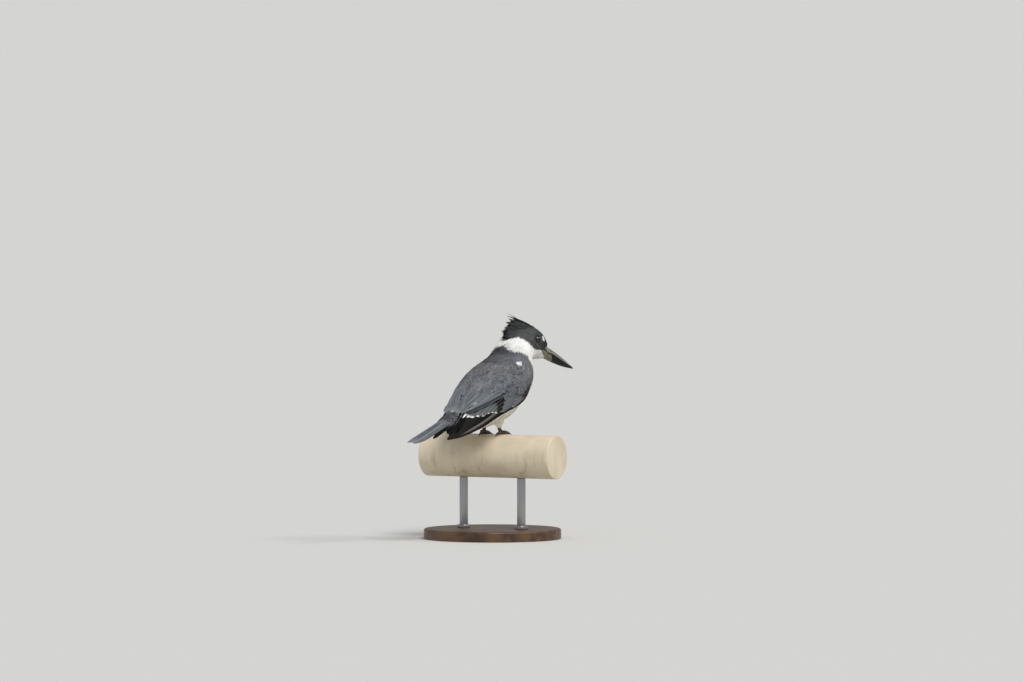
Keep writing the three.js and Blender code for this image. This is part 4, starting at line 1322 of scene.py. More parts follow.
# %% Rows of the right wing
QUILL_ROWS = [
    # roots and tips are (along, across) on the surface, half widths and heights are in mm
    {"surface": tail, "count": 4, "seed": 8,
     "roots": [[.0, 1.15], [.0, .95]], "tips": [[.44, 1.12], [.66, .84]], "half": [3.6, 3.0],
     "heights": [[-3.6, -2.6], [-4.6, -3.0]], "paint": dark_paint,
     "looks": plain_looks(0.2, 0.0, 0.0), "tilt": -0.6, "shape": lance_width, "slot": (0.99, 1.0)},
    # inner primaries
    {"surface": cloak, "count": 5, "seed": 7,
     "roots": [[.62, .30], [.60, .22], [.58, .16]], "tips": [[.955, .26], [.975, .17], [.985, .09]],
     "half": [4.6, 4.6, 4.4], "heights": [[-4.2, -2.4], [-4.4, -2.0], [-4.0, 1.3]],
     "paint": dark_paint, "looks": plain_looks(0.3, 0.0, 0.0), "slot": (0.94, 0.99)},
    # primaries
    {"surface": wing, "count": 10, "seed": 1,
     "roots": [[.40, .62], [.36, .82], [.33, 1.0]],
     "tips": [[.80, .52], [.90, .57], [.955, .64], [.99, .73], [.985, .84]],
     "half": [4.6, 4.4, 4.0, 3.3], "heights": [[-0.9, -0.4], [-1.4, -0.6], [-1.9, -0.8]],
     "paint": primary_paint, "looks": plain_looks(0.3, 0.0, 0.0), "bow": 0.05, "slot": (0.02, 0.24)},
    # secondaries
    {"surface": wing, "count": 8, "seed": 2,
     "roots": [[.34, .80], [.40, .62], [.46, .40], [.50, .2]],
     "tips": [[.605, .85], [.64, .735], [.70, .66], [.76, .54], [.825, .37], [.875, .10]],
     "half": [4.4, 4.8, 5.0], "heights": [[-0.7, -0.3], [-0.3, 0.0], [0.2, 0.3]],
     "paint": secondary_paint, "looks": plain_looks(0.6, 0.15, 0.03), "slot": (0.25, 0.5)},
    # tertials
    {"surface": cloak, "count": 5, "seed": 3,
     "roots": [[.40, .60], [.40, .46], [.39, .34], [.38, .23], [.36, .13]],
     "tips": [[.853, .20], [.872, .14], [.882, .08], [.885, .04], [.875, .012]],
     "half": [6.8, 6.6, 6.0], "heights": [[-1.6, 0.1], [-1.5, 0.4], [-1.4, 0.7]],
     "paint": tertial_paint, "looks": end_looks(0.7, 0.2, 0.018),
     "bow": 0.105, "tilt": 0.06, "slot": (0.51, 0.62)},
    # greater coverts
    {"surface": wing, "count": 11, "seed": 4,
     "roots": [[.24, .86], [.28, .62], [.30, .38], [.30, .22]],
     "tips": [[.565, .91], [.515, .81], [.495, .70], [.50, .58], [.53, .42]],
     "half": [3.4, 4.2, 5.0], "heights": [[0.2, 0.1], [0.7, 0.4], [1.3, 0.7]],
     "paint": covert_paint, "looks": plain_looks(0.7, 0.2, 0.008), "slot": (0.63, 0.78)},
    # primary coverts
    {"surface": wing, "count": 7, "seed": 5,
     "roots": [[.25, .985], [.24, .90], [.22, .80]], "tips": [[.455, .96], [.445, .91], [.42, .83]],
     "half": [2.4, 2.6, 2.8], "heights": [[-0.1, 0.0], [0.3, 0.2], [0.7, 0.4]],
     "paint": covert_paint, "looks": plain_looks(0.7, 0.3, 0.05), "slot": (0.79, 0.88)},
    # front edge
    {"surface": wing, "count": 9, "seed": 6,
     "roots": [[.08, .93], [.20, .955], [.36, .965]], "tips": [[.22, .965], [.35, .985], [.52, .975]],
     "half": [2.3, 2.3, 2.1], "heights": [[0.6, 0.8], [0.5, 0.6], [0.1, 0.1]],
     "paint": dark_paint, "looks": plain_looks(0.4, 0.01, 0.0), "slot": (0.89, 0.935)},
]


def wing_quills(seed):
    """All rows of a wing as seen from the right; seed gives each wing its own small accidents."""
    return [quill_row(**{**row, "seed": seed + row["seed"]}) for row in QUILL_ROWS]


print("quills in a wing:", sum(row["count"] for row in QUILL_ROWS))


# %% Both wings
CORE_ALONG = (0.02, 0.62)
CORE_ACROSS = (0.04, 0.88)
WING_SEEDS = (40, 60)


def wing_core():
    """The hand and arm inside the feathers: a thin closed pad under the quills, whose thickness
    goes as sin^0.5 across the wing times sin^0.4 along it."""
    s = np.linspace(*CORE_ALONG, 30)[:, None]
    p = np.linspace(*CORE_ACROSS, 13)[None, :]
    middle = wing(s, p)
    up = outward(wing, s + 0 * p, p + 0 * s)
    thick = 0.8 * np.sin(np.pi * (p - 0.04) / 0.84) ** 0.5 * np.sin(np.pi * (s - 0.01) / 0.62) ** 0.4
    top = middle + up * ((thick - 1.0) * MM)[..., None]
    bottom = middle + up * ((-thick - 1.1) * MM)[..., None]
    return np.concatenate([top, bottom[:, ::-1]], axis=1)


lining_finish = Finish("wing lining", Roughness=0.9, Base_Color=(*CREAM.tolist(), 1))
for (side, label), seed in zip(SIDES, WING_SEEDS):
    rows = wing_quills(seed)
    core = wing_core()
    if side < 0:
        rows = [mirrored(row) for row in rows]
        core = core[:, ::-1] * np.array([-1.0, 1.0, 1.0])
    plumage_piece(f"quills_{label}", rows, quill_finish, [f"wing_{label}"])
    tubes_piece(f"wing_lining_{label}", [core], lining_finish)

# %% [markdown]
# ## Tail
# Twelve quills: the middle pair on top and slate-blue, the others stepped below and outwards, with
# a slate-blue outer web and a black inner web that carries rows of white spots. On a closed tail
# little but their edges and undersides shows. They are rows like the wing's, laid on the fan.

# %% Tail quills
TAIL_STATIONS = 30


def middle_tail_paint(k, a, b):
    """Slate-blue with a black shaft line."""
    return shaded(even(SLATE_BLUE * 1.4, k, a, b), OFF_BLACK, 0.8 * smooth(np.abs(b), 0.1, 0.03))


def outer_tail_paint(k, a, b):
    """Slate-blue outer web, darker on the outermost; black inner web with white spots in rows."""
    spots = smooth(np.cos(2 * np.pi * (a * 12 + 0.15 * k)), 0.55, 0.8) * smooth(b, 0.35, 0.5)
    return shaded(
        even(SLATE_BLUE * 1.35, k, a, b),
        OFF_BLACK, 0.75 * smooth(k, 0.85, 1.0) * smooth(b, -0.2, -0.5),
        BLACK, smooth(b, 0.02, 0.12),
        WHITE, spots * smooth(a, 0.3, 0.4),
    )


def tail_half(seed):
    """The six quills of the right half: the middle one first, then the five beneath it."""
    middle = quill_row(
        tail, 1, [[0, .10], [0, .10]], [[.985, .19], [.985, .19]], [5.6, 5.6],
        [[1.1, 0.7], [1.1, 0.7]], seed, middle_tail_paint, plain_looks(0.4, 0.2, 0.0),
        tilt=0.03, slot=(0.02, 0.14), stations=TAIL_STATIONS)
    others = quill_row(
        tail, 5, [[0, .15], [0, .5]], [[1.0, .32], [.985, .47], [.93, .60]], [5.4, 4.9],
        [[0.7, 0.4], [-1.1, -0.7]], seed + 1, outer_tail_paint, plain_looks(0.3, 0.1, 0.012),
        tilt=0.07, slot=(0.15, 0.48), stations=TAIL_STATIONS)
    return [middle, others]


tail_right = tail_half(80)
tail_left = [mirrored(batch) for batch in tail_half(84)]
plumage_piece("tail_quills", tail_right + tail_left, quill_finish, ["tail"])

# %% [markdown]
# ## Crest
# Long narrow feathers grow from the whole crown and sweep back and up, the front ones short and
# low, the rear ones long. Most end inside the crest's outline, about one in five is gathered into
# one of a few ragged locks, which give the outline its points, and a handful make a wisp at the
# top. Each follows a curve with three handles: its root on the crown, a point above its middle,
# and its tip.

# %% Outline and locks of the crest
CREST_OUT = np.array([
    [82, 112], [72, 121], [60, 127], [47, 131.0], [35, 133.5],
    [27, 132.5], [24.5, 127], [18.5, 122.5], [17.5, 116], [19, 108.5],
])
CREST_IN = np.array([
    [77, 107], [68, 112], [60, 114], [52, 114.5], [45, 113.5],
    [40, 111.5], [37, 109], [34, 106.5], [32, 103.5], [30, 100],
])
CREST_HALF = [3.5, 6.5, 8.5, 9.5, 9.5, 9.5, 9.5, 9.5, 9.5, 8.5]
CREST_LOCKS = np.array([
    # tip f, tip z, side lean, where on the crown it starts (u)
    [31.0, 135.5, 2.0, 0.13], [26.5, 133.5, 0.0, 0.17], [24.5, 130.0, -3.5, 0.2],
    [18.0, 124.0, 2.5, 0.23], [17.5, 119.5, -4.0, 0.26], [17.5, 113.5, 4.0, 0.29],
    [18.0, 108.5, -3.0, 0.32],
])
WISP = {"f": 22.5, "z": 138.0, "count": 5}
CREST_COUNT = 3400
LOCK_SHARE = 0.22
STRANDS = 165


def crest_tips(rng, u, v, wispy):
    """Where each feather points, in mm, and how far of the way it reaches: to a place between the
    inner and the outer outline, to a point near the tip of a lock, or to the wisp."""
    count = len(u)
    place = np.clip(0.10 + 2.9 * u + rng.normal(0, 0.05, count), 0.05, 1)
    level = np.clip(1.0 - (np.abs(v) / 0.2) ** 1.6, 0, 1) * rng.uniform(0.75, 1.0, count)
    outer, inner = spline(CREST_OUT, place), spline(CREST_IN, place)
    edge = inner + (outer - inner) * level[:, None]
    spread = spline(CREST_HALF, place) * np.sqrt(np.clip(1.05 - level, 0, 1))
    side = np.sign(v) * spread + rng.normal(0, 0.8, count)
    tip = np.stack([edge[:, 0], side, edge[:, 1]], -1)
    lock = CREST_LOCKS[np.abs(u[:, None] - CREST_LOCKS[:, 3]).argmin(1)]
    gathered = (rng.uniform(0, 1, count) < LOCK_SHARE) & (np.abs(v) < 0.11)
    pull = rng.uniform(0.6, 1.0, count)[:, None]
    base = np.stack([lock[:, 0] + 16, 0.4 * side, lock[:, 1] - 9], -1)
    lock_tip = base + (np.stack([lock[:, 0], lock[:, 2], lock[:, 1]], -1) - base) * pull
    lock_tip = lock_tip + rng.normal(0, 1.1, (count, 3)) * (1.05 - pull)
    tip = np.where(gathered[:, None], lock_tip, tip)
    wisp_tip = np.array([WISP["f"], 0, WISP["z"]]) + rng.normal(0, 1.3, (count, 3))
    tip = np.where(wispy[:, None], wisp_tip, tip)
    reach = np.where(wispy | gathered, 1.0, rng.triangular(0.5, 1.0, 1.0, count))
    return tip, reach[:, None]


print("one crest feather in", round(1 / LOCK_SHARE), "may join a lock")


# %% Crest feathers
def crest_feathers(seed, stations=7):
    """Roots spread over the crown, and paths (1-a)^2 root + 2a(1-a) handle + a^2 end."""
    rng = np.random.default_rng(seed)
    wispy = np.arange(CREST_COUNT) < WISP["count"]
    u = np.where(wispy, 0.2, rng.uniform(0.03, 0.335, CREST_COUNT))
    v = rng.triangular(-1, 0, 1, CREST_COUNT) * (0.10 + 0.09 * smooth(u, 0.17, 0.26))
    v = v * np.where(wispy, 0.1, 1)
    root = body(u, v, -0.5)
    skin_up = outward(body, u, v)
    tip, reach = crest_tips(rng, u, v, wispy)
    end = root + (at(*tip.T) - root) * reach
    length = np.linalg.norm(end - root, axis=-1, keepdims=True)
    handle = (root + end) / 2 + skin_up * length * rng.uniform(0.02, 0.10, CREST_COUNT)[:, None]
    a = steps(stations)[None, :, None]
    centre = (1 - a) ** 2 * root[:, None] + 2 * a * (1 - a) * handle[:, None] + a ** 2 * end[:, None]
    roll = rng.normal(0, 0.5, CREST_COUNT)[:, None] + 0.6 * np.sign(v)[:, None]
    up = unit(skin_up + roll * np.array([-1.0, 0.0, 0.0]))
    half = rng.uniform(0.45, 0.85, CREST_COUNT)[:, None] * lance_width(a[0, :, 0])
    paint = blend(CHARCOAL * 1.15 + 0 * root, FOREHEAD, smooth(u, 0.15, 0.06))
    strand = 1 + 0.3 * np.sin(STRANDS * v + 14 * u)
    paint = paint * (strand * np.clip(rng.normal(1.0, 0.3, CREST_COUNT), 0.3, 1.8))[:, None]
    streak, fringe = rng.uniform(0.2, 1, CREST_COUNT), rng.uniform(0, 0.5, CREST_COUNT)
    pattern = np.stack([streak, fringe, 0 * u], -1)
    bent = np.broadcast_to(up[:, None], centre.shape)
    return feathers(centre, bent, half, paint, pattern, unrolled(u, v), rng, 3, ragged=0.2)


plumage_piece("crest_feathers", [crest_feathers(90)], crest_finish, ["crest"])

# %% [markdown]
# ## Bill
# Two narrow arches meet on the flat plane of the mouth, each with its ridge a little sharper than an
# ellipse. Behind the edge of the face both run on as slices of the body, under the feathers' tips
# where the wedge at the mouth's corner is bare and inside the skin elsewhere, so that horn comes
# out of plumage without a seam. The nostril is a slit pressed into the side of the upper half, and
# painted shade darkens it. The horn is black, the upper half grey but for its cutting edge: the
# horn's own grey near the base, and a painted sheen of light along the ridge nearly to the tip. The
# lower half is olive at the chin.

# %% Measures of the bill
BILL_FACE = {"f": 88.0, "top": 99.2, "bottom": 84.0}
BILL_TIP = {"f": 133.0, "z": 72.3}
BILL_HIDDEN = 0.34
BILL_BACK_U = 0.14
BILL_HALF_WIDTH = 6.6
BILL_ARCH = 1.6
BILL_TIP_HALF = 0.75
MOUTH_SHARE = 0.42
MOUTH_V = 0.3
MOUTH_V_GAP = 0.002
MOUTH_GAP = 0.15
FLAT_INSET = 0.98
BASE_SUNK = 2.05
BASE_BARE = 1.6
HORN = pigment(118, 112, 88)
BILL_BLACK = pigment(13, 11, 13)
BILL_GREY_AND_SHEEN = pigment(132, 128, 121)


def bill_edges(t):
    """Upper and lower outline at t: level inside the face below 0, meeting at the tip at 1."""
    shown = np.maximum(t, 0)
    bow = BILL_ARCH * np.sin(np.pi * shown)
    top = BILL_FACE["top"] + (BILL_TIP["z"] + BILL_TIP_HALF - BILL_FACE["top"]) * shown + bow
    bottom = BILL_FACE["bottom"] + (BILL_TIP["z"] - BILL_TIP_HALF - BILL_FACE["bottom"]) * shown - bow
    return top, bottom


def bill_base(upper, t, turn):
    """Slices of the body for the horn behind the face's edge: just inside its surface on the bare
    wedge and under the skin elsewhere. turn is 1 at the right edge of the mouth, -1 at the left."""
    u = BILL_BACK_U * np.clip(-t / BILL_HIDDEN, 0, 1)
    v = (MOUTH_V - MOUTH_V_GAP) * turn if upper else 0.5 - (0.5 - MOUTH_V - MOUTH_V_GAP) * turn
    wedge = smooth(spline(BARE_EDGE, round_share(v)) - u, -0.012, 0.0)
    return body(u, v, BASE_BARE * wedge - BASE_SUNK)


print("the bill stands", BILL_TIP["f"] - BILL_FACE["f"], "mm out of the face")


# %% Bill halves
def nostril(t, angle):
    """1 in the middle of the slit and falling off as exp(-distance^2), along and round the bill."""
    return np.exp(-((t - 0.1) / 0.045) ** 2) * np.exp(-((np.sin(angle) - 0.62) / 0.14) ** 2)


def bill_colour(upper, t, ridge, slit):
    """Black with a grey ridge, partly painted sheen, and a nostril darkened by painted shade above,
    olive at the chin below, greyish tips.
    """
    dark = BILL_BLACK + 0 * ridge[..., None]
    if upper:
        edge = 0.06 + 0.12 * smooth(t, 0.0, 0.15)
        # grey: the horn's own near the base, and a painted sheen along the ridge out to near the tip;
        # the nostril's black is painted shade in its slit
        grey = 0.95 * smooth(ridge, edge, edge + 0.18) * smooth(t, 0.98, 0.85)
        colour = shaded(dark, BILL_GREY_AND_SHEEN, grey, BLACK * 0.4, smooth(slit, 0.4, 0.8))
    else:
        colour = shaded(dark, HORN, smooth(t - 0.08 * ridge, 0.09, 0.05))
    return shaded(colour, BILL_GREY_AND_SHEEN * 1.5, 0.8 * smooth(t, 0.925, 0.975) + 0 * ridge)


def bill_shape(upper, t, angle, flat, slit):
    """Arch and flat side of one half. Round the arch, angle 0 and pi are the cutting edges and pi/2
    the ridge: width = half * cos, height = rise * sin^0.9, both pressed in by slit and groove."""
    top, bottom = bill_edges(t)
    mouth = bottom + (top - bottom) * MOUTH_SHARE + (MOUTH_GAP if upper else -MOUTH_GAP)
    half = np.maximum(BILL_HALF_WIDTH * (1 - np.maximum(t, 0) ** 1.1), BILL_TIP_HALF)
    groove = 0.05 * np.exp(-((np.sin(angle) - 0.2) / 0.1) ** 2) * (t > 0) * (t < 0.9)
    width = half * np.cos(angle) * (1 - 0.2 * slit - groove)
    rise = ((top if upper else bottom) - mouth) * np.sin(angle) ** 0.9 * (1 - 0.06 * slit)
    side = np.concatenate([width, half * flat * FLAT_INSET], axis=1)
    up = np.concatenate([mouth + rise, mouth + 0 * flat], axis=1)
    forward = BILL_FACE["f"] + (BILL_TIP["f"] - BILL_FACE["f"]) * t + 0 * side
    return at(forward, side, up)


def bill_half(upper, rings=110, around=36):
    """Points and colours of one half: its shape in front, passing into body slices at the face."""
    t = np.linspace(-BILL_HIDDEN, 1, rings)[:, None]
    angle = np.linspace(0, np.pi, around - 4)[None, :]
    flat = np.linspace(-1, 1, 6)[None, 1:-1]
    slit = nostril(t, angle) * upper
    points = bill_shape(upper, t, angle, flat, slit)
    arch = bill_base(upper, t, 1 - 2 * angle / np.pi)
    right, left = arch[:, :1], arch[:, -1:]
    roof = (right + left) / 2 + (right - left) / 2 * flat[..., None] * FLAT_INSET
    base = np.concatenate([arch, roof], axis=1)
    points = points + (base - points) * smooth(t, 0.02, -0.17)[..., None]
    ridge, hole = (
        np.concatenate([part, 0 * flat + 0 * t], axis=1) for part in (np.sin(angle) + 0 * t, slit)
    )
    colour = bill_colour(upper, t, ridge, hole)
    if not upper:
        points, colour = points[:, ::-1], colour[:, ::-1]
    return points[:, ::-1], colour[:, ::-1]


bill_finish = Finish("bill horn", Specular_IOR_Level=0.22)
bill_grain = bill_finish.noise(bill_finish.place(), 900.0, 3.0, (1, 0.12, 0.3))
bill_ground = bill_finish.attribute("plumage")
bill_finish.feed("Base Color", bill_finish.scaled(bill_ground, bill_grain * 0.5 + 0.75))
bill_finish.feed("Roughness", bill_grain * 0.2 + 0.24)
bill_finish.bump(bill_grain, 0.0002, 0.4)
for upper, label in ((True, "bill_upper"), (False, "bill_lower")):
    points, colour = bill_half(upper)
    tubes_piece(f"{label}_horn", [points], bill_finish, [label], [colour])

# %% [markdown]
# ## Eyes
# A kingfisher's eye is a deep brown ball with a small bulge of clear cornea, so the gloss sits on
# it as one soft light. It looks out to the side, a little forwards and a little up. Rings run from
# the pupil to the back, and the colour follows the angle from the pupil. A dark rim of lid hugs the
# ball and meets the feathers.

# %% Finishes and measures of the eye
cornea = {"Coat_Weight": 1.0, "Coat_IOR": 1.5, "Coat_Roughness": 0.2}
eye_finish = Finish("eye", Roughness=0.5, Specular_IOR_Level=0.05, **cornea)
eye_finish.feed("Base Color", eye_finish.attribute("plumage"))
lid_finish = Finish("lid skin", Roughness=0.55, Base_Color=ink(48, 46, 46))
lid_finish.bump(lid_finish.noise(lid_finish.place(), 2500.0), 0.0002, 0.6)
PUPIL = pigment(9, 8, 8)
IRIS = pigment(30, 10, 8)
PUPIL_EDGE = (0.36, 0.44)
IRIS_RIM = (0.66, 0.8)
EYE_OVER = unit(np.array([0.0, 0.0, 1.0]) - EYE_AXIS * EYE_AXIS[2])
EYE_AHEAD = np.cross(EYE_OVER, EYE_AXIS)
LID_RADIUS = 4.8
LID_LIFT = 0.35


def round_eye(depth, radius, turn, side):
    """Places round the eye's own line: centre + depth along it + radius towards bill and brow."""
    ahead = (radius * np.cos(turn) * MM)[..., None] * EYE_AHEAD
    over = (radius * np.sin(turn) * MM)[..., None] * EYE_OVER
    place = EYE_CENTRE + (depth * MM)[..., None] * EYE_AXIS + ahead + over
    return place * np.array([side, 1, 1])


print("the lids open", 2 * LID_RADIUS, "mm on a ball of", 2 * EYE_RADIUS, "mm")


# %% Eyeballs and lids
def eyeball(side, rings=48, around=48):
    """Sphere about the eye's line: radius = R + 0.3 mm * exp(-(angle/0.55)^2) for the cornea."""
    polar = np.linspace(0.02, np.pi - 0.02, rings)[:, None]
    turn = np.linspace(0, 2 * np.pi, around, endpoint=False)[None, :] * side
    radius = EYE_RADIUS + 0.3 * np.exp(-(polar / 0.55) ** 2)
    away = polar + 0 * turn
    colour = shaded(
        PUPIL + 0 * away[..., None],
        IRIS, smooth(away, *PUPIL_EDGE),
        PUPIL, 0.7 * smooth(away, *IRIS_RIM),
    )
    return round_eye(radius * np.cos(away), radius * np.sin(away), turn, side), colour


def lid(side, rings=64, around=12):
    """Ring of skin round the opening, thicker above than below and drawn out a little towards
    bill and ear: a torus whose middle lies on a circle of LID_RADIUS on the ball."""
    turn = np.linspace(0, 2 * np.pi, rings + 1)[:, None] * side
    round_rim = np.linspace(0, 2 * np.pi, around, endpoint=False)[None, :]
    thick = 0.38 + 0.1 * np.sin(turn)
    radius = LID_RADIUS * (1 + 0.04 * np.cos(2 * turn)) + thick * np.cos(round_rim)
    depth = math.sqrt(EYE_RADIUS ** 2 - LID_RADIUS ** 2) + LID_LIFT + thick * np.sin(round_rim)
    return round_eye(depth, radius, turn + 0 * round_rim, side)


for side, label in SIDES:
    ball, colour = eyeball(side)
    tubes_piece(f"eyeball_{label}", [ball], eye_finish, [f"eye_{label}"], [colour])
    tubes_piece(f"lid_{label}", [lid(side)], lid_finish)

# %% [markdown]
# ## Feet
# A kingfisher's legs are very short and its front toes are partly grown together. Three toes go
# forward over the rail and one back. Each toe is a tube laid round the rail whose radius swells
# between the joints and carries a row of low scales; the claw is a curved cone of black horn.

# %% Toes and shanks round the rail
PERCH_RADIUS = 25.4
PERCH_TURN = math.radians(17)
PERCH_AXIS = np.array([math.cos(PERCH_TURN), math.sin(PERCH_TURN), 0.0])
PERCH_FORWARD = np.array([math.sin(PERCH_TURN), -math.cos(PERCH_TURN), 0.0])
TOES = [
    # angle round the rail at the tip, sideways place at tip and at start in mm, joints
    {"reach": 0.46, "spread": -4.6, "start": -2.2, "joints": 3},
    {"reach": 0.56, "spread": 0.4, "start": 0.0, "joints": 4},
    {"reach": 0.51, "spread": 4.4, "start": 2.2, "joints": 3},
    {"reach": -0.3, "spread": -1.5, "start": -0.5, "joints": 2},
]
TOE_RADII = [2.1, 2.0, 1.9, 1.8, 1.45]
TOE_END = 0.75
TOE_LIFT = 0.3
CLAW_RADII = [1.1, 1.05, 0.85, 0.55, 0.12]
CLAW_RISE = np.array([1.7, 2.3, 2.5, 2.1, 1.3, 0.4])
CLAW_ANGLE = 0.2
CLAW_START = 0.93
SHANK_RADII = [2.7, 2.1, 2.0, 2.2]


def on_perch(angle, right, lift):
    """Place on the rail: angle round it from its top, mm along it to the right, mm above it."""
    radius = (PERCH_RADIUS + np.asarray(lift)) * MM
    centre = np.array([0, 0, PERCH_TOP - PERCH_RADIUS * MM])
    sideways = -np.asarray(right)[..., None] * MM * PERCH_AXIS
    ahead = (radius * np.sin(angle))[..., None] * PERCH_FORWARD
    return centre + sideways + ahead + (radius * np.cos(angle))[..., None] * np.array([0, 0, 1.0])


def scales(count, depth, joints):
    """Low steps along a toe, and a swelling between each pair of joints, as a share of its radius."""
    def swell(t):
        """1 + depth * (share of the step - 0.5) + 0.08 * sin(pi * share of the joint) - 0.04."""
        step = (t * count) % 1.0
        return 1 + depth * (step - 0.5) + 0.08 * np.sin(np.pi * ((t * joints) % 1.0)) - 0.04
    return swell


def toe_and_claw(side, toe):
    """Rings of one toe, laid round the rail from the foot's middle, and of the claw at its end."""
    k = np.linspace(0, 1, 9)
    sideways = side * (FOOT_SIDE + toe["start"] + (toe["spread"] - toe["start"]) * k)
    path = on_perch(toe["reach"] * k, sideways, TOE_LIFT + spline(TOE_RADII, k))
    swell = scales(4 * toe["joints"], 0.1, toe["joints"])
    flesh = tube(path, [*TOE_RADII, TOE_END], 64, 20, (1, 0, 0), swell)
    claw_start = toe["reach"] * CLAW_START
    claw_end = toe["reach"] + math.copysign(CLAW_ANGLE, toe["reach"])
    angle = claw_start + (claw_end - claw_start) * np.linspace(0, 1, len(CLAW_RISE))
    claw = on_perch(angle, side * (FOOT_SIDE + toe["spread"]) + 0 * angle, TOE_LIFT + CLAW_RISE)
    return flesh, tube(claw, CLAW_RADII, 24, 14, (1, 0, 0))


def shank(side):
    """The bare shank, from the foot's middle on the rail up to the heel under the feathers."""
    foot = side * FOOT_SIDE
    ankle = on_perch(np.array([0.0]), np.array([foot]), TOE_LIFT + 1.6)
    path = np.concatenate([ankle, path_of([-1.0, foot, 6.0], [-1.5, foot, 11.0])])
    return tube(path, SHANK_RADII, 44, 20, LIMB_SIDE, scales(7, 0.07, 1))


claw_ends = [round(abs(toe["reach"]) + CLAW_ANGLE, 2) for toe in TOES]
print("claws end at", claw_ends, "radians from the rail's top")


# %% Both feet
scaly_finish = Finish("scaly foot skin", Roughness=0.55)
foot_place = scaly_finish.place()
foot_spots = scaly_finish.noise(foot_place, 420.0, 4.0)
foot_brown = scaly_finish.mix(foot_spots.smooth(0.3, 0.7), ink(58, 48, 40), ink(92, 76, 60))
scaly_finish.feed("Base Color", foot_brown)
cell_values = {"Vector": foot_place, "Scale": 1100.0}
cells = scaly_finish.node("ShaderNodeTexVoronoi", None, cell_values, out="Distance")
scaly_finish.bump(cells, 0.0003, 0.5)
claw_finish = Finish("claw horn", Roughness=0.3, Base_Color=ink(26, 23, 21))
for side, label in SIDES:
    toes, claws = zip(*(toe_and_claw(side, toe) for toe in TOES))
    tubes_piece(f"toes_{label}", [*toes, shank(side)], scaly_finish, [f"foot_{label}"])
    tubes_piece(f"claws_{label}", claws, claw_finish)

# %% [markdown]
# ## Turned pieces
# The perch is a short cut of painted tube with closed ends, and the stand is plain: a turned wooden
# base with a rounded edge and two steel rods with small collars. Each is a profile carried once
# round a line, as on a lathe. The profile has rounded edges, because a true edge is never quite
# sharp and a round one catches the light.

# %% Turning
PIN_HOLE = 0.05


def turned(profile, origin, axis, around):
    """A profile of (radius, height) rows in mm carried once round an axis through origin."""
    axis = unit(np.asarray(axis, float))
    lying = abs(axis[2]) < 0.9
    first = unit(np.cross(axis, np.array([0.31, 0.2, 0.93]) if lying else np.array([1.0, 0, 0])))
    second = np.cross(axis, first)
    angle = np.linspace(0, 2 * np.pi, around, endpoint=False)
    radius, height = np.array(profile, float).T * MM
    circle = np.cos(angle)[:, None] * first + np.sin(angle)[:, None] * second
    points = origin + height[:, None, None] * axis + radius[:, None, None] * circle[None]
    return points[:, ::-1]


def rounded(radius, low, high, edge_low, edge_high, rows=8):
    """Outline of a closed cylinder from its lower face to its upper one, with round edges."""
    k = np.linspace(0, np.pi / 2, rows)
    out_low, up_low = edge_low * np.sin(k), edge_low * np.cos(k)
    out_high, up_high = edge_high * np.cos(k), edge_high * np.sin(k)
    lower = np.stack([radius - edge_low + out_low, low + edge_low - up_low], -1)
    upper = np.stack([radius - edge_high + out_high, high - edge_high + up_high], -1)
    return [(PIN_HOLE, low), *lower.tolist(), *upper.tolist(), (PIN_HOLE, high)]


print("a rounded profile has", len(rounded(1, 0, 1, 0.1, 0.1)), "rows")

# %% [markdown]
# ## Rail
# The paint is cream, a little chalky, with faint runs of dirt, drawn stronger low on its sides so that
# the rail is darker towards the bottom, and small chips where spots of two noises meet. The runs are a
# noise drawn out upwards.

# %% Painted rail
PERCH_LENGTH = 170.0
PERCH_EDGE = 1.2
paint_finish = Finish("cream rail paint")
rail_place = paint_finish.place()
blotch = paint_finish.noise(rail_place, 38.0, 4.0)
runs = paint_finish.noise(rail_place, 150.0, 3.0, (1, 1, 0.12))
specks = paint_finish.noise(rail_place, 900.0, 2.0)
_, _, rail_height = paint_finish.parts(rail_place)
# the runs are drawn stronger low on the sides, so the rail is darker towards the bottom
low_side = rail_height.smooth(PERCH_TOP - 0.012, PERCH_TOP - 0.045)
clean = paint_finish.mix(blotch.smooth(0.35, 0.7), ink(227, 213, 186), ink(215, 199, 172))
dirty = paint_finish.mix(runs.smooth(0.52, 0.75) * (low_side * 0.35 + 0.12), clean, ink(150, 128, 100))
chips = specks.smooth(0.72, 0.76) * blotch.smooth(0.5, 0.62)
paint_finish.feed("Base Color", paint_finish.mix(chips * 0.7, dirty, ink(128, 104, 82)))
paint_finish.feed("Roughness", blotch * 0.25 + 0.33)
paint_finish.bump(blotch * 0.5 + specks * 0.25, 0.0004, 0.35)

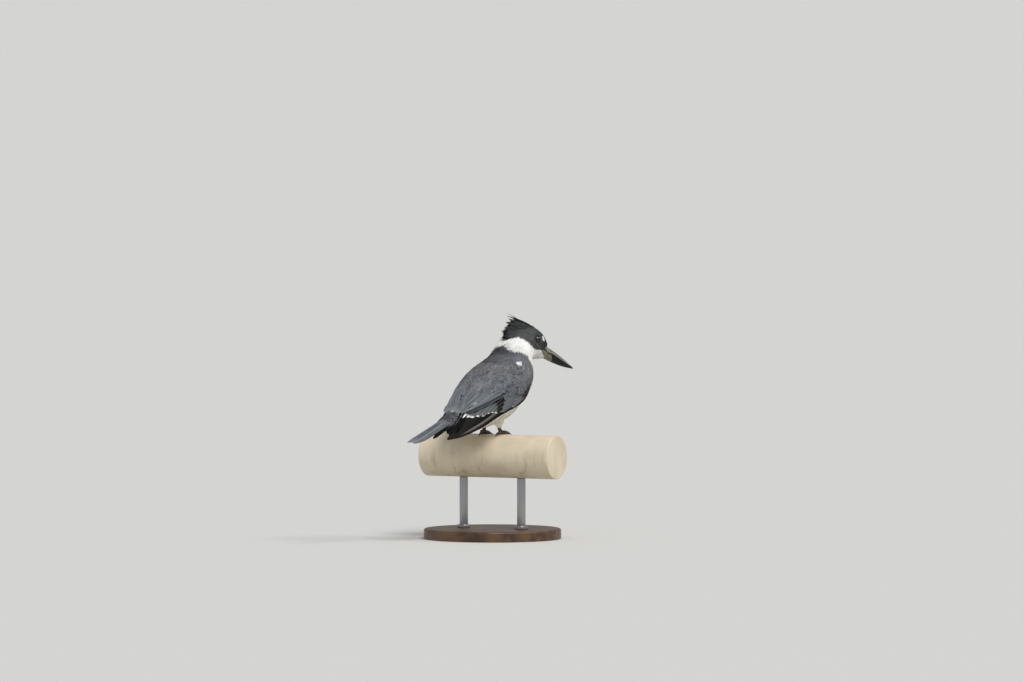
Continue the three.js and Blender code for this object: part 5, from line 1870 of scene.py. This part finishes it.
perch_outline = rounded(PERCH_RADIUS, -PERCH_LENGTH / 2, PERCH_LENGTH / 2, PERCH_EDGE, PERCH_EDGE)
perch_middle = np.array([0, 0, PERCH_TOP - PERCH_RADIUS * MM])
rail = turned(perch_outline, perch_middle, PERCH_AXIS, 128)
tubes_piece("rail", [rail], paint_finish, ["perch"])

# %% [markdown]
# ## Base and rods
# Walnut shows long soft grain and short dark pores. Both are noises drawn out along the wood. The
# rods are plain brushed steel and stop a tenth of a millimetre short of base and rail.

# %% Wooden base
BASE_RADIUS = 80.0
BASE_THICKNESS = 12.0
wood_finish = Finish("oiled walnut", Roughness=0.42)
wood_place = wood_finish.place()
grain = wood_finish.noise(wood_place, 55.0, 5.0, (0.22, 2.2, 1.0))
pores = wood_finish.noise(wood_place, 700.0, 2.0, (0.06, 1.0, 1.0))
wood = wood_finish.mix(grain.smooth(0.32, 0.68), ink(66, 45, 31), ink(104, 74, 50))
wood_finish.feed("Base Color", wood_finish.mix(pores.smooth(0.58, 0.72) * 0.5, wood, ink(42, 28, 20)))
wood_finish.bump(pores, 0.0003, 0.25)
base = turned(rounded(BASE_RADIUS, 0, BASE_THICKNESS, 0.6, 2.4), np.zeros(3), (0, 0, 1), 160)
tubes_piece("base", [base], wood_finish, ["stand_base"])

# %% Steel rods
ROD_RADIUS = 5.0
ROD_SPACING = 76.0
ROD_GAP = 0.1
COLLAR_RADIUS = 8.0
COLLAR_HEIGHT = 3.5
rod_low = BASE_THICKNESS + ROD_GAP
rod_high = PERCH_TOP / MM - 2 * PERCH_RADIUS - ROD_GAP
steel_finish = Finish("brushed steel", Roughness=0.32, Metallic=1.0, Base_Color=ink(170, 171, 173))
for side, label in SIDES:
    origin = -PERCH_AXIS * side * ROD_SPACING / 2 * MM
    rod = turned(rounded(ROD_RADIUS, rod_low, rod_high, 0.3, 0.3), origin, (0, 0, 1), 48)
    collar_outline = rounded(COLLAR_RADIUS, rod_low, rod_low + COLLAR_HEIGHT, 0.4, 0.8)
    foot_collar = turned(collar_outline, origin, (0, 0, 1), 48)
    tubes_piece(f"rod_{label}", [rod, foot_collar], steel_finish, [f"stand_rod_{label}"])
